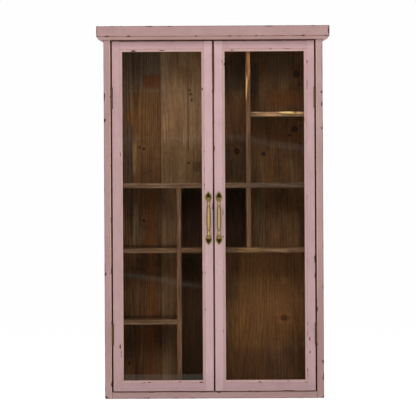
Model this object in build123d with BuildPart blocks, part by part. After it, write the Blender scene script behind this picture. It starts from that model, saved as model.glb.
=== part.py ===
from build123d import *
from math import cos, radians, sin
import os

os.makedirs("parts", exist_ok=True)

# A glazed two-door display cabinet, in millimetres. X runs to the right, Y to the back, Z up.
# The origin is the centre of the carcass base, on the surface that it stands on.

# Carcass
total_height = 1000.0
carcass_width = 588.0
carcass_depth = 150.0
side_thickness = 18.5
bottom_thickness = 18.0
top_thickness = 18.0
foot_rounding = 4.0
arris_rounding = 1.0

# Cornice: an upright fascia over a chamfer, mitred at the front corners
cornice_height = 37.0
cornice_fascia = 28.0
cornice_overhang = 18.5
cornice_foot = 3.0

# Rails hidden behind the cornice and the door heads
head_rail_depth = 38.0
rear_rail_height = 38.0
rear_rail_thickness = 14.0

# Tongue and groove back
back_thickness = 10.0
back_rebate = 9.0
back_board_count = 4
tongue_thickness = 3.4
tongue_length = 5.0
tongue_clearance = 0.2
seam_chamfer = 0.8

# Shelves and upright dividers, each height to the underside of its board
shelf_thickness = 13.5
divider_thickness = 12.5
divider_offset = 94.0
upper_shelf_height = 565.7
lower_shelf_height = 390.8
short_left_height = 198.5
short_right_height = 756.5
shelf_setback = 4.0
housing_depth = 4.0
housing_stop = 10.0
lap_clearance = 0.1

# Doors
door_thickness = 20.0
door_side_gap = 4.0
door_centre_gap = 4.0
door_head_gap = 3.0
door_foot_gap = 2.2
meeting_stile_face = 22.0
hinge_stile_face = 20.4
top_rail_face = 21.0
bottom_rail_face = 21.8
lip_width = 7.0
lip_thickness = 8.0
glass_thickness = 3.0
glass_clearance = 0.6
bead_recess = 1.5
bead_flat = 1.2
bead_nose = 3.0
tenon_length = 14.0
tenon_thickness = 7.0
tenon_shoulder = 4.0
tenon_setback = 3.0

# Butt hinges
hinge_length = 57.0
hinge_end_distance = 153.0
hinge_barrel_radius = 2.7
hinge_pin_radius = 1.2
hinge_pin_proud = 1.0
hinge_pin_rounding = 0.4
hinge_leaf_thickness = 1.4
hinge_leaf_width = 19.0
hinge_knuckles = 5
hinge_hole_pitch = 20.0
running_clearance = 0.05
moving_clearance = 0.3

# Wood screws: head radius, shank radius and length
hinge_screw = (2.5, 1.2, 12.0)
pull_screw = (3.1, 1.4, 15.0)
hanger_screw = (3.1, 1.5, 20.0)
catch_screw = (2.8, 1.3, 22.0)
screws_per_leaf = 3

# Bow pulls
pull_height = 484.0
pull_offset = 14.0
pull_half_length = 72.0
pull_plate_length = 28.0
pull_plate_width = 18.5
pull_plate_thickness = 2.4
pull_rim_width = 1.7
pull_rim_bevel = 0.6
pull_field_depth = 1.2
pull_neck_end = 3.2
pull_screw_reach = 61.0
pull_foot_reach = 51.0
pull_grip_half = 32.0
pull_grip_proud = 21.0
pull_grip_bow = 1.8
pull_grip_width = 11.4
pull_grip_end_width = 8.4
pull_grip_thickness = 6.0
pull_collar_reach = 38.8
pull_collar_length = 9.0
pull_collar_width = 8.7
pull_neck_width = 7.0
pull_neck_thickness = 5.2
pull_neck_overlap = 1.0
pull_foot_radius = 4.4
pull_rivet_radius = 2.0

# The grip is drawn through this many sections, and the neck through sections that turn by these angles
grip_section_count = 7
neck_angles = (0, 30, 60, 90)

# Twin magnetic catch and its strike plates
catch_width = 60.0
catch_height = 12.0
catch_depth = 14.0
magnet_width = 18.0
magnet_height = 7.0
magnet_depth = 5.0
magnet_spacing = 33.0
strike_width = 20.0
strike_height = 12.0
strike_thickness = 1.5
strike_spike_radius = 0.9
strike_spike_length = 5.0
strike_spike_angle = 8.0

# Hidden fixings
dowel_radius = 4.0
dowel_length = 30.0
dowel_chamfer = 0.7
dowel_side_depth = 12.0
dowel_inset = 25.0
dowel_count = 3
nail_head_radius = 2.2
nail_shank_radius = 1.0
nail_length = 22.0
nail_head_thickness = 1.0
nail_edge_distance = 8.0

# Hanger plates on the back
hanger_spacing = 400.0
hanger_plate_width = 42.0
hanger_plate_height = 18.0
hanger_plate_thickness = 2.0
hanger_hole_radius = 4.5
hanger_pocket_radius = 5.5
hanger_pocket_depth = 6.0
hanger_screw_pitch = 30.0
hanger_drop = 24.0

# Planes of the carcass that the pieces share
front_y = -carcass_depth / 2
rear_y = carcass_depth / 2
outer_x = carcass_width / 2
inner_x = outer_x - side_thickness
back_front_y = rear_y - back_thickness
top_under_z = total_height - top_thickness
head_z = total_height - cornice_height
shelf_front_y = front_y + door_thickness + shelf_setback
lap_middle_y = (shelf_front_y + back_front_y) / 2
divider_inner_x = divider_offset - divider_thickness / 2
divider_outer_x = divider_offset + divider_thickness / 2
rear_rail_front_y = back_front_y - rear_rail_thickness
rear_rail_z = top_under_z - rear_rail_height

# Planes of the doors
door_edge_x = inner_x - door_side_gap
meeting_edge_x = door_centre_gap / 2
door_foot_z = bottom_thickness + door_foot_gap
door_top_z = head_z - door_head_gap
door_back_y = front_y + door_thickness
lip_front_y = door_back_y - lip_thickness
glass_front_y = lip_front_y - glass_thickness

# The hinge pin stands just proud of the door's face and nearer to the door than to the side
pin_x = inner_x - moving_clearance - hinge_barrel_radius
pin_y = front_y - hinge_pin_proud
pin_hole_radius = hinge_pin_radius + running_clearance
hinge_heights = (
    door_foot_z + hinge_end_distance,
    door_top_z - hinge_end_distance,
)
leaf_front_y = pin_y + hinge_barrel_radius + moving_clearance
leaf_back_y = leaf_front_y + hinge_leaf_width - hinge_barrel_radius
leaf_screw_y = (leaf_front_y + leaf_back_y) / 2


def rectangle_between(low_a, high_a, low_b, high_b, mode=Mode.ADD):
    """Draws a rectangle in the open sketch, given by its edges in the sketch's two directions."""
    with Locations(((low_a + high_a) / 2, (low_b + high_b) / 2)):
        Rectangle(high_a - low_a, high_b - low_b, mode=mode)


def front_plane(y):
    """The plane at depth y seen from the front: its directions are X and Z, and it faces the front."""
    return Plane.XZ.offset(-y)


def save(part, name):
    """Labels a finished piece and writes it to its own file."""
    part.label = name
    export_step(part, f"parts/{name}.step")


def screw_solid(plane, sizes):
    """A countersunk wood screw whose flat head lies in the plane and whose tip points against its normal."""
    head, shank, length = sizes
    tip = 2 * shank
    with BuildPart() as screw:
        with BuildSketch(Plane.XZ):
            with BuildLine():
                Polyline(
                    (0, 0), (head, 0), (shank, shank - head), (shank, tip - length), (0, -length), close=True
                )
            make_face()
        revolve(axis=Axis.Z)
    return plane.location * screw.part


def screw_clearance_solid(plane, sizes):
    """The hole that such a screw fills, a running clearance larger all round."""
    head, shank, length = sizes
    wide = (head + running_clearance, shank + running_clearance, length + running_clearance)
    return screw_solid(plane, wide)


def group(solids):
    """Separate identical solids as one piece of the list."""
    return Compound(children=list(solids))


# Where each hinge screw goes, on the frame leaf and on the door leaf
def hinge_screw_planes(hand, on_door):
    planes = []
    surface = door_edge_x + hinge_leaf_thickness if on_door else inner_x - hinge_leaf_thickness
    outward = hand if on_door else -hand
    for centre in hinge_heights:
        for step in range(screws_per_leaf):
            z = centre + (step - (screws_per_leaf - 1) / 2) * hinge_hole_pitch
            planes.append(Plane(origin=(hand * surface, leaf_screw_y, z), z_dir=(outward, 0, 0)))
    return planes


def dowel_solids(clearance):
    """Dowels of the bottom board, across its ends, and of the top board, down into the sides."""
    first = front_y + dowel_inset
    pitch = (back_front_y - dowel_inset - first) / (dowel_count - 1)
    radius = dowel_radius - running_clearance + clearance
    length = dowel_length - 2 * running_clearance + 2 * clearance
    with BuildPart() as dowel:
        Cylinder(radius, length)
        chamfer(dowel.edges(), dowel_chamfer)
    solids = []
    for hand in (-1, 1):
        for step in range(dowel_count):
            y = first + step * pitch
            across = inner_x + dowel_side_depth - dowel_length / 2
            down = total_height - (top_thickness + dowel_length) / 2
            solids.append(Pos(hand * across, y, bottom_thickness / 2) * Rot(0, 90, 0) * dowel.part)
            solids.append(Pos(hand * (inner_x + side_thickness / 2), y, down) * dowel.part)
    return solids


# Nails: one to each back board at every board behind it
back_board_width = 2 * (inner_x + back_rebate) / back_board_count
nail_rows = (
    bottom_thickness / 2,
    lower_shelf_height + shelf_thickness / 2,
    upper_shelf_height + shelf_thickness / 2,
    top_under_z - nail_edge_distance,
)


def nail_solids(clearance):
    with BuildPart() as nail:
        with BuildSketch(front_plane(rear_y - nail_head_thickness - clearance)):
            Circle(nail_shank_radius + clearance)
        extrude(amount=nail_length - nail_head_thickness)
        with BuildSketch(front_plane(rear_y)):
            Circle(nail_head_radius + clearance)
        extrude(amount=nail_head_thickness + clearance)
    solids = []
    for board in range(back_board_count):
        x = (board + 0.5 - back_board_count / 2) * back_board_width
        for z in nail_rows:
            solids.append(Pos(x, 0, z) * nail.part)
    return solids


hanger_z = top_under_z - hanger_drop
hanger_screw_planes = [
    Plane(origin=(side * hanger_spacing / 2 + end * hanger_screw_pitch / 2, rear_y, hanger_z), z_dir=(0, 1, 0))
    for side in (-1, 1)
    for end in (-1, 1)
]
catch_back_y = door_back_y + strike_thickness + moving_clearance + catch_depth
catch_screw_y = catch_back_y - (catch_depth - magnet_depth) / 2
catch_screw_planes = [
    Plane(origin=(side * magnet_spacing / 2, catch_screw_y, head_z - catch_height), z_dir=(0, 0, -1))
    for side in (-1, 1)
]
dowel_holes = dowel_solids(running_clearance)
nail_holes = nail_solids(running_clearance)
hanger_holes = [screw_clearance_solid(plane, hanger_screw) for plane in hanger_screw_planes]
catch_holes = [screw_clearance_solid(plane, catch_screw) for plane in catch_screw_planes]


# Sides, rebated for the back and housed for the shelves
for hand, name, short_height in (
    (-1, "left_side", short_left_height),
    (1, "right_side", short_right_height),
):
    side_low = min(hand * inner_x, hand * outer_x)
    side_high = max(hand * inner_x, hand * outer_x)
    rebate_edges = sorted((hand * inner_x, hand * (inner_x + back_rebate)))
    housing_edges = sorted((hand * inner_x, hand * (inner_x + housing_depth)))
    hinge_holes = [screw_clearance_solid(plane, hinge_screw) for plane in hinge_screw_planes(hand, False)]
    with BuildPart() as side_board:
        with BuildSketch(front_plane(rear_y)):
            rectangle_between(side_low, side_high, 0, top_under_z)
        extrude(amount=carcass_depth)
        foot_edges = side_board.edges().filter_by(Axis.Y).group_by(Axis.Z)[0].sort_by(Axis.X)
        fillet(foot_edges[0 if hand < 0 else -1], foot_rounding)
        front_edges = side_board.edges().filter_by(Axis.Z).group_by(Axis.Y)[0]
        fillet(front_edges, arris_rounding)
        with BuildSketch(Plane.XY):
            rectangle_between(*rebate_edges, back_front_y, rear_y)
        extrude(amount=top_under_z, mode=Mode.SUBTRACT)
        for height in (upper_shelf_height, lower_shelf_height, short_height):
            with BuildSketch(Plane.XY.offset(height - lap_clearance)):
                rectangle_between(*housing_edges, shelf_front_y - lap_clearance, back_front_y)
            extrude(amount=shelf_thickness + 2 * lap_clearance, mode=Mode.SUBTRACT)
        add(hinge_holes, mode=Mode.SUBTRACT)
        add(dowel_holes, mode=Mode.SUBTRACT)
    save(side_board.part, name)

# Bottom board, between the sides, housed for the left divider
with BuildPart() as bottom_board:
    with BuildSketch(Plane.XY):
        rectangle_between(-inner_x, inner_x, front_y, back_front_y)
    extrude(amount=bottom_thickness)
    fillet(bottom_board.edges().filter_by(Axis.X).group_by(Axis.Y)[0], arris_rounding)
    with BuildSketch(Plane.XY.offset(bottom_thickness - housing_depth)):
        rectangle_between(
            -divider_outer_x - lap_clearance, -divider_inner_x + lap_clearance, shelf_front_y, back_front_y
        )
    extrude(amount=housing_depth, mode=Mode.SUBTRACT)
    add(dowel_holes, mode=Mode.SUBTRACT)
    add(nail_holes, mode=Mode.SUBTRACT)
bottom_board.part.label = "bottom_board"
export_step(bottom_board.part, "parts/bottom_board.step")

# Top board, over the sides, with its edges behind the cornice, housed for the right divider
with BuildPart() as top_board:
    with BuildSketch(Plane.XY.offset(top_under_z)):
        rectangle_between(-outer_x, outer_x, front_y, rear_y)
    extrude(amount=top_thickness)
    with BuildSketch(Plane.XY.offset(top_under_z)):
        rectangle_between(
            divider_inner_x - lap_clearance,
            divider_outer_x + lap_clearance,
            front_y + head_rail_depth,
            rear_rail_front_y,
        )
    extrude(amount=housing_depth, mode=Mode.SUBTRACT)
    add(dowel_holes, mode=Mode.SUBTRACT)
top_board.part.label = "top_board"
export_step(top_board.part, "parts/top_board.step")

# Head rail over the doors
with BuildPart() as head_rail:
    with BuildSketch(Plane.XY.offset(head_z)):
        rectangle_between(-inner_x, inner_x, front_y, front_y + head_rail_depth)
    extrude(amount=top_under_z - head_z)
    add(catch_holes, mode=Mode.SUBTRACT)
head_rail.part.label = "head_rail"
export_step(head_rail.part, "parts/head_rail.step")

# Rear rail, which takes the hanger screws
with BuildPart() as rear_rail:
    with BuildSketch(Plane.XY.offset(rear_rail_z)):
        rectangle_between(-inner_x, inner_x, rear_rail_front_y, back_front_y)
    extrude(amount=rear_rail_height)
    add(hanger_holes, mode=Mode.SUBTRACT)
    add(nail_holes, mode=Mode.SUBTRACT)
rear_rail.part.label = "rear_rail"
export_step(rear_rail.part, "parts/rear_rail.step")


# Cornice
def cornice_points(outward):
    """The moulding's section: its back stands on zero, and its face looks towards outward."""
    return [
        (0, head_z),
        (outward * cornice_foot, head_z),
        (outward * cornice_overhang, total_height - cornice_fascia),
        (outward * cornice_overhang, total_height),
        (0, total_height),
    ]


cornice_front_y = front_y - cornice_overhang
cornice_outer_x = outer_x + cornice_overhang
mitre_planes = {
    hand: Plane(origin=(hand * outer_x, front_y, 0), x_dir=(0, 0, 1), z_dir=(hand, 1, 0)) for hand in (-1, 1)
}

with BuildPart() as cornice_front:
    with BuildSketch(Plane(origin=(-cornice_outer_x, front_y, 0), x_dir=(0, 1, 0), z_dir=(1, 0, 0))):
        Polygon(*cornice_points(-1), align=None)
    extrude(amount=2 * cornice_outer_x)
    fillet(cornice_front.edges().filter_by(Axis.X).group_by(Axis.Y)[0], arris_rounding)
    split(bisect_by=mitre_planes[-1], keep=Keep.BOTTOM)
    split(bisect_by=mitre_planes[1], keep=Keep.BOTTOM)
cornice_front.part.label = "cornice_front"
export_step(cornice_front.part, "parts/cornice_front.step")

for hand, name in ((-1, "cornice_left"), (1, "cornice_right")):
    with BuildPart() as cornice_return:
        with BuildSketch(Plane(origin=(hand * outer_x, rear_y, 0), x_dir=(1, 0, 0), z_dir=(0, -1, 0))):
            Polygon(*cornice_points(hand), align=None)
        extrude(amount=rear_y - cornice_front_y)
        face_edges = cornice_return.edges().filter_by(Axis.Y).group_by(Axis.X)
        fillet(face_edges[0 if hand < 0 else -1], arris_rounding)
        split(bisect_by=mitre_planes[hand], keep=Keep.TOP)
    save(cornice_return.part, name)

# Back boards, each with a tongue on its right edge and a groove on its left one
back_middle_y = back_front_y + back_thickness / 2
back_edge_x = inner_x + back_rebate
tongue_low_y = back_middle_y - tongue_thickness / 2
tongue_high_y = back_middle_y + tongue_thickness / 2
for board in range(back_board_count):
    board_low_x = board * back_board_width - back_edge_x
    board_high_x = board_low_x + back_board_width
    with BuildPart() as back_board:
        with BuildSketch(Plane.XY):
            rectangle_between(board_low_x, board_high_x, back_front_y, rear_y)
            if board > 0:
                rectangle_between(
                    board_low_x,
                    board_low_x + tongue_length + tongue_clearance,
                    tongue_low_y - tongue_clearance,
                    tongue_high_y + tongue_clearance,
                    mode=Mode.SUBTRACT,
                )
        extrude(amount=top_under_z)
        seam_edges = back_board.edges().filter_by(Axis.Z).group_by(Axis.Y)[0]
        chamfer(seam_edges, seam_chamfer)
        if board < back_board_count - 1:
            with BuildSketch(Plane.XY):
                rectangle_between(board_high_x, board_high_x + tongue_length, tongue_low_y, tongue_high_y)
            extrude(amount=top_under_z)
        add(nail_holes, mode=Mode.SUBTRACT)
        add(hanger_holes, mode=Mode.SUBTRACT)
        for hand in (-1, 1):
            with BuildSketch(front_plane(rear_y)):
                with Locations((hand * hanger_spacing / 2, hanger_z)):
                    SlotOverall(hanger_plate_width + 2 * lap_clearance, hanger_plate_height + 2 * lap_clearance)
            extrude(amount=hanger_plate_thickness, mode=Mode.SUBTRACT)
            with BuildSketch(front_plane(rear_y)):
                with Locations((hand * hanger_spacing / 2, hanger_z)):
                    Circle(hanger_pocket_radius)
            extrude(amount=hanger_plate_thickness + hanger_pocket_depth, mode=Mode.SUBTRACT)
    save(back_board.part, f"back_board_{board + 1}")


# Shelves: full-width boards, halved into the divider that crosses them and housed for the other one
shelf_end_x = inner_x + housing_depth - lap_clearance
divider_slot = (divider_inner_x - lap_clearance, divider_outer_x + lap_clearance)
left_divider_slot = (-divider_slot[1], -divider_slot[0])
stop_y = shelf_front_y + housing_stop
housing_front_y = stop_y - lap_clearance

with BuildPart() as shelf_upper:
    with BuildSketch(Plane.XY.offset(upper_shelf_height)):
        rectangle_between(-shelf_end_x, shelf_end_x, shelf_front_y, back_front_y)
    extrude(amount=shelf_thickness)
    fillet(shelf_upper.edges().filter_by(Axis.X).group_by(Axis.Y)[0], arris_rounding)
    with BuildSketch(Plane.XY.offset(upper_shelf_height)):
        rectangle_between(*divider_slot, lap_middle_y, back_front_y)
    extrude(amount=shelf_thickness, mode=Mode.SUBTRACT)
    with BuildSketch(Plane.XY.offset(upper_shelf_height)):
        rectangle_between(*left_divider_slot, housing_front_y, back_front_y)
    extrude(amount=housing_depth, mode=Mode.SUBTRACT)
    add(nail_holes, mode=Mode.SUBTRACT)
shelf_upper.part.label = "shelf_upper"
export_step(shelf_upper.part, "parts/shelf_upper.step")

lower_shelf_top = lower_shelf_height + shelf_thickness
with BuildPart() as shelf_lower:
    with BuildSketch(Plane.XY.offset(lower_shelf_height)):
        rectangle_between(-shelf_end_x, shelf_end_x, shelf_front_y, back_front_y)
    extrude(amount=shelf_thickness)
    fillet(shelf_lower.edges().filter_by(Axis.X).group_by(Axis.Y)[0], arris_rounding)
    with BuildSketch(Plane.XY.offset(lower_shelf_height)):
        rectangle_between(*left_divider_slot, shelf_front_y, lap_middle_y)
    extrude(amount=shelf_thickness, mode=Mode.SUBTRACT)
    with BuildSketch(Plane.XY.offset(lower_shelf_top - housing_depth)):
        rectangle_between(*divider_slot, housing_front_y, back_front_y)
    extrude(amount=housing_depth, mode=Mode.SUBTRACT)
    add(nail_holes, mode=Mode.SUBTRACT)
shelf_lower.part.label = "shelf_lower"
export_step(shelf_lower.part, "parts/shelf_lower.step")

# Short shelves, from a side to the near divider, which they enter behind a stopped shoulder
for hand, name, height in (
    (-1, "short_shelf_left", short_left_height),
    (1, "short_shelf_right", short_right_height),
):
    shelf_edges = sorted((hand * divider_outer_x, hand * shelf_end_x))
    tenon_edges = sorted((hand * (divider_outer_x - housing_depth + lap_clearance), hand * divider_outer_x))
    with BuildPart() as short_shelf:
        with BuildSketch(Plane.XY.offset(height)):
            rectangle_between(*shelf_edges, shelf_front_y, back_front_y)
        extrude(amount=shelf_thickness)
        fillet(short_shelf.edges().filter_by(Axis.X).group_by(Axis.Y)[0], arris_rounding)
        with BuildSketch(Plane.XY.offset(height)):
            rectangle_between(*tenon_edges, stop_y, back_front_y)
        extrude(amount=shelf_thickness)
    save(short_shelf.part, name)

# Upright dividers
tongue_reach = housing_depth - lap_clearance
with BuildPart() as divider_left:
    with BuildSketch(Plane.YZ.offset(-divider_outer_x)):
        rectangle_between(shelf_front_y, back_front_y, bottom_thickness, upper_shelf_height)
    extrude(amount=divider_thickness)
    fillet(divider_left.edges().filter_by(Axis.Z).group_by(Axis.Y)[0], arris_rounding)
    with BuildSketch(Plane.YZ.offset(-divider_outer_x)):
        rectangle_between(stop_y, back_front_y, bottom_thickness - tongue_reach, bottom_thickness)
        rectangle_between(stop_y, back_front_y, upper_shelf_height, upper_shelf_height + tongue_reach)
    extrude(amount=divider_thickness)
    with BuildSketch(Plane.YZ.offset(-divider_outer_x)):
        rectangle_between(
            lap_middle_y, back_front_y, lower_shelf_height - lap_clearance, lower_shelf_top + lap_clearance
        )
    extrude(amount=divider_thickness, mode=Mode.SUBTRACT)
    with BuildSketch(Plane.YZ.offset(-divider_outer_x)):
        rectangle_between(
            housing_front_y,
            back_front_y,
            short_left_height - lap_clearance,
            short_left_height + shelf_thickness + lap_clearance,
        )
    extrude(amount=housing_depth, mode=Mode.SUBTRACT)
divider_left.part.label = "divider_left"
export_step(divider_left.part, "parts/divider_left.step")

with BuildPart() as divider_right:
    with BuildSketch(Plane.YZ.offset(divider_inner_x)):
        rectangle_between(shelf_front_y, back_front_y, lower_shelf_top, top_under_z)
    extrude(amount=divider_thickness)
    fillet(divider_right.edges().filter_by(Axis.Z).group_by(Axis.Y)[0], arris_rounding)
    with BuildSketch(Plane.YZ.offset(divider_inner_x)):
        rectangle_between(stop_y, back_front_y, lower_shelf_top - tongue_reach, lower_shelf_top)
        rectangle_between(
            front_y + head_rail_depth, rear_rail_front_y, top_under_z, top_under_z + tongue_reach
        )
    extrude(amount=divider_thickness)
    with BuildSketch(Plane.YZ.offset(divider_inner_x)):
        rectangle_between(
            shelf_front_y, front_y + head_rail_depth + lap_clearance, head_z - lap_clearance, total_height
        )
        rectangle_between(
            rear_rail_front_y - lap_clearance, back_front_y, rear_rail_z - lap_clearance, total_height
        )
        rectangle_between(
            shelf_front_y,
            lap_middle_y + lap_clearance,
            upper_shelf_height - lap_clearance,
            upper_shelf_height + shelf_thickness + lap_clearance,
        )
    extrude(amount=divider_thickness, mode=Mode.SUBTRACT)
    with BuildSketch(Plane.YZ.offset(divider_outer_x - housing_depth)):
        rectangle_between(
            housing_front_y,
            back_front_y,
            short_right_height - lap_clearance,
            short_right_height + shelf_thickness + lap_clearance,
        )
    extrude(amount=housing_depth, mode=Mode.SUBTRACT)
divider_right.part.label = "divider_right"
export_step(divider_right.part, "parts/divider_right.step")

# Fixings of the carcass
save(group(dowel_solids(0)), "carcass_dowels")
save(group(nail_solids(0)), "back_nails")
save(group(screw_solid(plane, hanger_screw) for plane in hanger_screw_planes), "hanger_screws")
save(group(screw_solid(plane, catch_screw) for plane in catch_screw_planes), "catch_screws")

# Hanger plates, let in flush with the back, each with a round hole for a wall hook
with BuildPart() as hanger_plates:
    with BuildSketch(front_plane(rear_y)):
        with Locations((-hanger_spacing / 2, hanger_z), (hanger_spacing / 2, hanger_z)):
            SlotOverall(hanger_plate_width, hanger_plate_height)
            Circle(hanger_hole_radius, mode=Mode.SUBTRACT)
    extrude(amount=hanger_plate_thickness)
    add(hanger_holes, mode=Mode.SUBTRACT)
hanger_plates.part.label = "hanger_plates"
export_step(hanger_plates.part, "parts/hanger_plates.step")

# Twin magnetic catch, screwed up into the head rail behind the meeting stiles
catch_front_y = catch_back_y - catch_depth
magnet_z = head_z - catch_height / 2
with BuildPart() as catch_body:
    with BuildSketch(Plane.XY.offset(head_z - catch_height)):
        rectangle_between(-catch_width / 2, catch_width / 2, catch_front_y, catch_back_y)
    extrude(amount=catch_height)
    fillet(catch_body.edges().filter_by(Axis.Z), arris_rounding)
    with BuildSketch(front_plane(catch_front_y + magnet_depth)):
        with Locations((-magnet_spacing / 2, magnet_z), (magnet_spacing / 2, magnet_z)):
            Rectangle(magnet_width + 2 * running_clearance, magnet_height + 2 * running_clearance)
    extrude(amount=magnet_depth, mode=Mode.SUBTRACT)
    add(catch_holes, mode=Mode.SUBTRACT)
catch_body.part.label = "catch_body"
export_step(catch_body.part, "parts/catch_body.step")

with BuildPart() as catch_magnets:
    with BuildSketch(front_plane(catch_front_y + magnet_depth)):
        with Locations((-magnet_spacing / 2, magnet_z), (magnet_spacing / 2, magnet_z)):
            Rectangle(magnet_width, magnet_height)
    extrude(amount=magnet_depth)
catch_magnets.part.label = "catch_magnets"
export_step(catch_magnets.part, "parts/catch_magnets.step")


# Butt hinges: two leaves whose knuckles alternate along one pin
knuckle_pitch = hinge_length / hinge_knuckles
knuckle_length = knuckle_pitch - moving_clearance


def hinge_leaves(hand, on_door):
    """The upper and lower leaf of one side, on the door's edge or on the inner face of the side board."""
    base_x = hand * (door_edge_x if on_door else inner_x)
    face_x = hand * (door_edge_x + hinge_leaf_thickness if on_door else inner_x - hinge_leaf_thickness)
    leaf_edges = sorted((base_x, face_x))
    first_knuckle = 1 if on_door else 0
    holes = [screw_clearance_solid(plane, hinge_screw) for plane in hinge_screw_planes(hand, on_door)]
    with BuildPart() as leaves:
        for centre in hinge_heights:
            with BuildSketch(Plane.XY.offset(centre - hinge_length / 2)):
                rectangle_between(*leaf_edges, leaf_front_y, leaf_back_y)
            extrude(amount=hinge_length)
            for knuckle in range(first_knuckle, hinge_knuckles, 2):
                knuckle_z = centre + (knuckle + 0.5 - hinge_knuckles / 2) * knuckle_pitch - knuckle_length / 2
                with BuildSketch(Plane.XY.offset(knuckle_z)):
                    with Locations((hand * pin_x, pin_y)):
                        Circle(hinge_barrel_radius)
                    rectangle_between(*leaf_edges, pin_y, leaf_front_y)
                    with Locations((hand * pin_x, pin_y)):
                        Circle(pin_hole_radius, mode=Mode.SUBTRACT)
                extrude(amount=knuckle_length)
        add(holes, mode=Mode.SUBTRACT)
    return leaves.part


def hinge_pin_solids():
    """The four pins, each with its ends rounded and standing just past the knuckles."""
    with BuildPart() as pin:
        Cylinder(hinge_pin_radius, hinge_length + 2 * moving_clearance)
        fillet(pin.edges(), hinge_pin_rounding)
    return [Pos(hand * pin_x, pin_y, centre) * pin.part for hand in (-1, 1) for centre in hinge_heights]


def hinge_screws(hand, on_door):
    return [screw_solid(plane, hinge_screw) for plane in hinge_screw_planes(hand, on_door)]


save(hinge_leaves(-1, False), "left_hinge_frame_leaves")
save(hinge_leaves(1, False), "right_hinge_frame_leaves")
save(group(hinge_pin_solids()), "hinge_pins")
save(group(hinge_screws(-1, False) + hinge_screws(1, False)), "frame_hinge_screws")

# The recess in the hinge stile's front edge that clears the knuckles, about the same pin
with BuildPart() as knuckle_recesses:
    for hand in (-1, 1):
        for centre in hinge_heights:
            with BuildSketch(Plane.XY.offset(centre - hinge_length / 2 - 2 * moving_clearance)):
                with Locations((hand * pin_x, pin_y)):
                    Circle(hinge_barrel_radius + moving_clearance + lap_clearance)
            extrude(amount=hinge_length + 4 * moving_clearance)

# Doors: edges of the flat frame, of the rebate and of the lip behind the glass
meeting_flat_x = meeting_edge_x + meeting_stile_face
hinge_flat_x = door_edge_x - hinge_stile_face
low_flat_z = door_foot_z + bottom_rail_face
high_flat_z = door_top_z - top_rail_face
tenon_front_y = front_y + tenon_setback
tenon_back_y = tenon_front_y + tenon_thickness


def stile_points(edge, inward, face):
    """A stile's section: the flat face, the rebate for the glass and the lip behind it."""
    return [
        (edge, front_y),
        (edge + inward * face, front_y),
        (edge + inward * face, lip_front_y),
        (edge + inward * (face + lip_width), lip_front_y),
        (edge + inward * (face + lip_width), door_back_y),
        (edge, door_back_y),
    ]


def bead_points(inward):
    """A glazing bead's section: flat against the frame, then sloping down to a thin nose."""
    return [
        (0, glass_front_y),
        (0, front_y + bead_recess),
        (inward * bead_flat, front_y + bead_recess),
        (inward * lip_width, glass_front_y - bead_nose),
        (inward * lip_width, glass_front_y),
    ]


def rail_solid(hand, low_z, high_z, lip_low_z, lip_high_z):
    """A rail between the stiles, its lip lower or higher than its face, with a tenon at each end."""
    flat_edges = sorted((hand * meeting_flat_x, hand * hinge_flat_x))
    lip_edges = sorted((hand * (meeting_flat_x + lip_width), hand * (hinge_flat_x - lip_width)))
    tenon_reach = tenon_length - lap_clearance
    with BuildPart() as rail:
        with BuildSketch(front_plane(lip_front_y)):
            rectangle_between(*flat_edges, low_z, high_z)
        extrude(amount=lip_front_y - front_y)
        with BuildSketch(front_plane(door_back_y)):
            rectangle_between(*lip_edges, lip_low_z, lip_high_z)
        extrude(amount=lip_thickness)
        with BuildSketch(front_plane(tenon_back_y)):
            rectangle_between(
                flat_edges[0] - tenon_reach,
                flat_edges[1] + tenon_reach,
                low_z + tenon_shoulder,
                high_z - tenon_shoulder,
            )
        extrude(amount=tenon_thickness)
    return rail.part


def mortise_solids(hand):
    """What the four tenons of a door need in its stiles, a lap clearance larger all round."""
    flat_edges = sorted((hand * meeting_flat_x, hand * hinge_flat_x))
    with BuildPart() as mortises:
        with BuildSketch(front_plane(tenon_back_y + lap_clearance)):
            for low_z, high_z in ((door_foot_z, low_flat_z), (high_flat_z, door_top_z)):
                rectangle_between(
                    flat_edges[0] - tenon_length,
                    flat_edges[1] + tenon_length,
                    low_z + tenon_shoulder - lap_clearance,
                    high_z - tenon_shoulder + lap_clearance,
                )
        extrude(amount=tenon_thickness + 2 * lap_clearance)
    return mortises.part


def upright_bead(hand, edge, inward):
    """A side bead, mitred at both ends where it meets the top and bottom beads."""
    with BuildPart() as bead:
        with BuildSketch(Plane(origin=(edge, 0, low_flat_z), x_dir=(1, 0, 0), z_dir=(0, 0, 1))):
            Polygon(*bead_points(inward), align=None)
        extrude(amount=high_flat_z - low_flat_z)
        split(
            bisect_by=Plane(origin=(edge, 0, low_flat_z), x_dir=(0, 1, 0), z_dir=(inward, 0, -1)),
            keep=Keep.BOTTOM,
        )
        split(
            bisect_by=Plane(origin=(edge, 0, high_flat_z), x_dir=(0, 1, 0), z_dir=(inward, 0, 1)),
            keep=Keep.BOTTOM,
        )
    return bead.part


def level_bead(hand, height, upward):
    """A top or bottom bead, mitred at both ends."""
    low_x, high_x = sorted((hand * meeting_flat_x, hand * hinge_flat_x))
    section = [(y, z) for z, y in bead_points(upward)]
    with BuildPart() as bead:
        with BuildSketch(Plane(origin=(low_x, 0, height), x_dir=(0, 1, 0), z_dir=(1, 0, 0))):
            Polygon(*section, align=None)
        extrude(amount=high_x - low_x)
        split(
            bisect_by=Plane(origin=(low_x, 0, height), x_dir=(0, 1, 0), z_dir=(-1, 0, upward)),
            keep=Keep.BOTTOM,
        )
        split(
            bisect_by=Plane(origin=(high_x, 0, height), x_dir=(0, 1, 0), z_dir=(1, 0, upward)),
            keep=Keep.BOTTOM,
        )
    return bead.part


# Pull: where each screw and each foot stands, above and below the middle
def pull_points(hand, reach):
    return [(hand * pull_offset, pull_height + side * reach) for side in (-1, 1)]


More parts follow.
